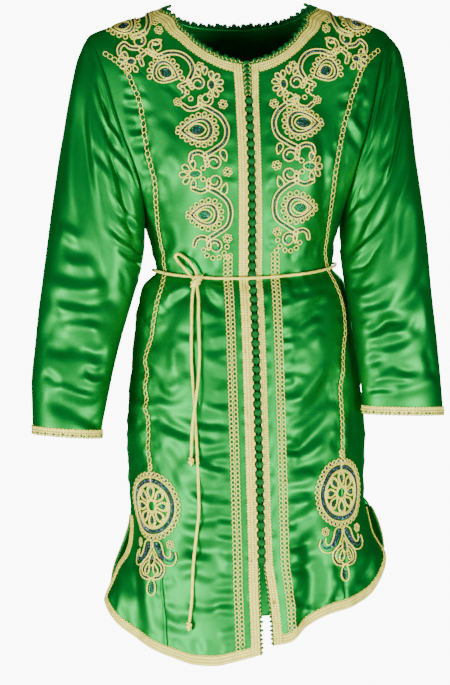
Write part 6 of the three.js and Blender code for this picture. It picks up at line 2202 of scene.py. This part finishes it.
def chest_motifs(motif, lower):
    """One side of the bodice, from the shoulder to the band. lower moves what is below the bust."""
    # Shoulder: an eye under its arch, scrolls and flowers round it
    eye(motif, (171, -13), 172, 37, 27, -168, 20)
    channel(motif, [(140, 10), (135, 0), (134, -12), (140, -25), (150, -30)])
    curl(motif, (141, -24), (158, -32), (149.5, -37), 9.6, 1.1, 1)
    channel(motif, [(152, -48), (163, -46), (171, -40), (179, -47), (179, -55)], 2.6)
    dot_flower(motif, (125, -8), 4.0)
    dot_flower(motif, (120, -22), 4.0)
    daisy(motif, (163, -66), -30, 5, 170, 11, 6.8, (6.4, 4.8))
    ring_row(motif, [(147, -50), (152, -62)], inset=1)
    curl(motif, (139, -52), (127, -58), (126, -46), 9.4, 1.1, 1)
    drop(motif, (117, -37), -20, 14, 8)
    channel(motif, [(139, -52), (149, -61), (147, -71)], 2.6)

    # First eye under its arch
    channel(motif, [(139, -52), (125, -60), (109, -56), (92, -58), (80, -68), (76, -82), (83, -97)])
    eye(motif, (114, -84), 24, 39, 33, -168, 40)
    dot_flower(motif, (66, -77))
    drop(motif, (60, -89), 96, 12, 7)
    drop(motif, (66, -90), 62, 11, 6.4)
    curl(motif, (83, -97), (78, -107), (69.5, -101), 9.2, 1.15, 1)
    curl(motif, (83.5, -98), (96, -104), (96, -114), 9.4, 0.5, 1)
    ring_row(motif, [(86, -112), (80, -123)], inset=1)
    dot_flower(motif, (99, -126), 3.8)

    # Half a flower beside the braid, and the scroll that starts the second arch
    daisy(motif, (51, -103), 186, 6, 190, 11, 6.8, (5.0, 7.2))
    curl(motif, (69, -132), (67, -120), (58.5, -123), 9.2, 1.1, -1)
    channel(motif, [(92, -131), (84, -137), (75, -136.5), (67, -132)], 2.6)
    dot_flower(motif, (36, -131))
    motif.shift = np.array(lower, float)

    # Second eye
    channel(motif, [(68, -131), (53, -139), (39, -150), (32, -166), (36, -184), (49, -195), (63, -203)])
    eye(motif, (73, -167), 180, 46, 35, -165, 165)
    curl(motif, (63, -203), (60, -217), (51, -213.5), 9.6, 1.1, 1)
    channel(motif, [(63, -203), (72, -198.5), (81, -201), (83, -209)], 2.6)
    drop(motif, (35, -211), 72, 16, 9)

    # Flower on the outer side, between two scrolls that mirror each other
    daisy(motif, (77, -227.5), 0, 5, 160, 12.5, 7.8, (8.6, 5.6))
    ring_row(motif, [(66, -219), (66.5, -236)], inset=1)
    dot_flower(motif, (33, -226))
    drop(motif, (35, -241), -72, 16, 9)
    curl(motif, (60, -248), (59, -236), (50.5, -238), 9.2, 1.1, -1)
    channel(motif, [(60, -248), (70, -251.5), (82, -247)], 2.6)

    # Third eye
    channel(motif, [(60, -247), (46, -255), (33, -268), (29.5, -284), (34, -300), (46, -309), (61, -318)])
    eye(motif, (66, -284), 180, 41, 32, -165, 165)

    # The last scroll, which leads into the band
    channel(motif, [(61, -318), (71, -315), (79, -319), (82, -327)], 2.6)
    curl(motif, (61, -318), (60, -332), (51, -329), 9.6, 1.1, 1)
    ring_row(motif, arc_of((52, -329), 16.5, 215, 345, 40), inset=0)
    dot_flower(motif, (34, -318))
    ring_row(motif, [(35, -329), (33, -345)], inset=1)
    motif.shift = np.zeros(2)


MEDALLION = {RIGHT: (-146, -694), LEFT: (121, -682)}
RING_OUT, RING_IN = 41, 32


def medallion(motif, centre):
    """The round motif on the hip and the pendant under it."""
    at = lambda *places: np.asarray(places, float) + centre
    ring_row(motif, arc_of(centre, 45.6, 0, 360 - 360 / 38, 80), 7.5, 3.0, 0)
    for radius in (RING_OUT, RING_IN, RING_IN - 2.2):
        motif.outline(arc_of(centre, radius, 0, 360, 80)[:-1], closed=True)
    motif.bead_line(arc_of(centre, (RING_OUT + RING_IN) / 2 + 0.6, 0, 357.5, 120), 2.6, 1.7)
    motif.bead_line(arc_of(centre, (RING_OUT + RING_IN) / 2 - 1.6, 1, 358.5, 120), 2.6, 1.2)
    for radius in (7.6, 9.6):
        motif.outline(arc_of(centre, radius, 0, 360, 28)[:-1], closed=True)
    for n in range(8):
        angle = 45 * n + 90
        for scale, start in ((1.0, 8.8), (0.8, 10.4)):
            inner = arc_of(centre, start, angle, 0, 1)[0]
            motif.outline(turned(drop_shape(20.5 * scale, 13.0 * scale), inner, angle), closed=True)
        spots = [[8.6, 0], [11.2, 1.1], [11.2, -1.1], [13.6, 0]]
        motif.beads(turned(spots, arc_of(centre, 9.0, angle, 0, 1)[0], angle), 1.45)
    ring_row(motif, at((0, 51), (0, 60)), 7.6, 2.8, 2)
    motif.outline(at((0, 45), (0, 33)))
    for side in (-1, 1):
        outer = [(2, -50), (8, -48.5), (15, -52), (18, -61), (22, -69), (28, -72), (31.5, -68), (31, -62)]
        inner = [(2, -50), (2, -59), (8, -70), (16, -79), (26, -83), (35.5, -81), (40.5, -73), (38.5, -64)]
        flip = lambda line: np.array(line, float) * [side, 1] + centre
        motif.outline(catmull(flip(outer), 60))
        motif.outline(catmull(flip(inner), 60))
        middle = catmull((flip(outer) + flip(inner)) / 2, 50)
        motif.bead_line(middle, 2.5, 1.6, 2)
        motif.bead_line(beside(middle, 2.4)[8:26], 2.4, 1.4)
        motif.bead_line(beside(middle, -2.4)[8:26], 2.4, 1.4)
        dot_flower(motif, flip([(31, -53)])[0], 4.2, 6)
        channel(motif, flip([(6, -74), (15, -80), (19, -89), (14.5, -98), (5.5, -101)]), 2.4)
        drop(motif, flip([(4.6, -80)])[0], -90 + side * 14, 16, 7.4)
    drop(motif, at((0, -64))[0], -90, 20, 9.5)
    drop(motif, at((0, -100))[0], -90, 25, 13.5, filled=False)
    motif.bead_line(at((0, -108), (0, -121)), 2.5, 1.7)
    motif.bead_line(at((-2.4, -112.5), (-2.4, -119)), 2.4, 1.3)
    motif.bead_line(at((2.4, -112.5), (2.4, -119)), 2.4, 1.3)


def make_embroidery():
    for side in SIDES:
        name = SIDE_NAME[side]
        motif = Motif(side)
        chest_motifs(motif, (0, 0) if side == RIGHT else (2, 8))
        x, z = MEDALLION[side]
        angle = float(angle_at(side, abs(x), z))
        medallion(motif, (float(arc_at(side, angle, z)), z))
        motif.gold.make(f"embroidery_{name}_cord", CORD_GOLD, "gold_cord")
        motif.glass.make(f"embroidery_{name}_beads", BEADS, "gold_cord")


def make_picots():
    """Green crochet inside the neckline, down the open parts of the front edge and under the cuffs."""
    for side in SIDES:
        name = SIDE_NAME[side]
        centre, back = CENTRE[side], BACK[side]
        top = len(centre.spots) - 1
        edge = spots_on(centre, np.arange(top + 1), 0)
        above, below = edge[edge[:, 1] > BUTTON_TOP], edge[edge[:, 1] < BUTTON_BOTTOM]
        neck = centre.row(top, lambda total: np.linspace(0, total, 200))
        behind = back.row(len(back.spots) - 1, lambda total: np.linspace(0, total, 200))
        green, gold = Stitching(), Stitching()
        round_neck = np.concatenate([above[:-1], neck, behind[::-1][1:]])
        picots(green, gold, Track(side, round_neck), -side, NECK_PICOT_SCALE)
        picots(green, gold, Track(side, below), -side, PICOT_SCALE)
        green.make(f"neck_picots_{name}", GREEN_CORD, "knots")
        gold.make(f"neck_picot_thread_{name}", CORD_GOLD, "gold_cord")
        green, gold = Stitching(), Stitching()
        picots(green, gold, CuffTrack(SLEEVE[side]), 1, PICOT_SCALE)
        green.make(f"cuff_picots_{name}", GREEN_CORD, "knots")
        gold.make(f"cuff_picot_thread_{name}", CORD_GOLD, "gold_cord")


def make_edge_loops():
    """Fine gold loops along the braids' edges on the cloth."""
    for side in SIDES:
        name = SIDE_NAME[side]
        centre, flank, back = CENTRE[side], FLANK[side], BACK[side]
        stitches = Stitching()
        every = np.arange(len(centre.spots) - FINE_CENTRE_TOP[-1])
        near, far = spots_on(centre, every, 0), spots_on(centre, every, BRAID_WIDE)
        share = front_braid_share(side, every / (len(centre.spots) - 1))[:, None]
        beside = Track(side, near + (far - near) * share)
        edge_loops(stitches, beside, -side)
        for panel, rows_count, start in (
            (centre, FINE_CENTRE_TOP[-1], BRAID_WIDE), (back, FINE_BACK_UPPER[-1], 0)
        ):
            edge_loops(stitches, Track(side, neck_edges(panel, rows_count, start)[0]), side)
        for panel, start, end in (
            (centre, BRAID_WIDE, 0), (flank, 0, HEM_BRAID_WIDE), (back, 0, HEM_BRAID_WIDE)
        ):
            way = side if panel is back else -side
            edge_loops(stitches, Track(side, hem_strip(panel, start, end)[1]), way)
        for panel, way in ((flank, -side), (back, side)):
            edge_loops(stitches, Track(side, slit_strip(panel)[1]), -way)
        edge_loops(stitches, CuffTrack(SLEEVE[side], CUFF_ROWS[0]), -1)
        stitches.make(f"braid_loops_{name}", CORD_GOLD, "gold_braid")


# The panels

FRONT_COLUMNS, FLANK_COLUMNS = 46, 26
SLEEVE_RINGS = 162
SLEEVE_TURNS = 104
CENTRE, FLANK, BACK, SLEEVE = {}, {}, {}, {}
for each in SIDES:
    CENTRE[each], FLANK[each], arm_front, arm_tip = front_half(each)
    BACK[each], arm_back = back_half(each)
    SLEEVE[each] = Sleeve(each, arm_front, arm_tip, arm_back)
    draw_sleeve_creases(each)
draw_body_creases()


def make_sleeve(side):
    sleeve = SLEEVE[side]
    along = np.linspace(0, 10, SLEEVE_RINGS)[:, None]
    turn = np.linspace(0, 360, SLEEVE_TURNS, endpoint=False)[None, :]
    roll = -SEAM_ROLL * np.exp(-((along * SLEEVE_STEP / SEAM_ROLL_WIDE) ** 2)) + 0 * turn
    outer = sleeve.point(along, turn, roll)
    inner = sleeve.point(along, turn, roll - CLOTH_THIN)
    piece = make_cloth(f"sleeve_{SIDE_NAME[side]}", outer, inner, wraps=True, flip=side == RIGHT)
    declare_sheet(piece, np.concatenate([outer, outer[:, :1]], axis=1))


for each in SIDES:
    name = SIDE_NAME[each]
    make_panel(f"front_{name}", CENTRE[each], FRONT_COLUMNS, False, True)
    make_panel(f"side_front_{name}", FLANK[each], FLANK_COLUMNS, True, True)
    make_sleeve(each)
    make_cuff_braid(each)
make_back(BACK)
make_braids()
make_chains()
make_buttons()
make_belt()
make_embroidery()
make_picots()
make_edge_loops()
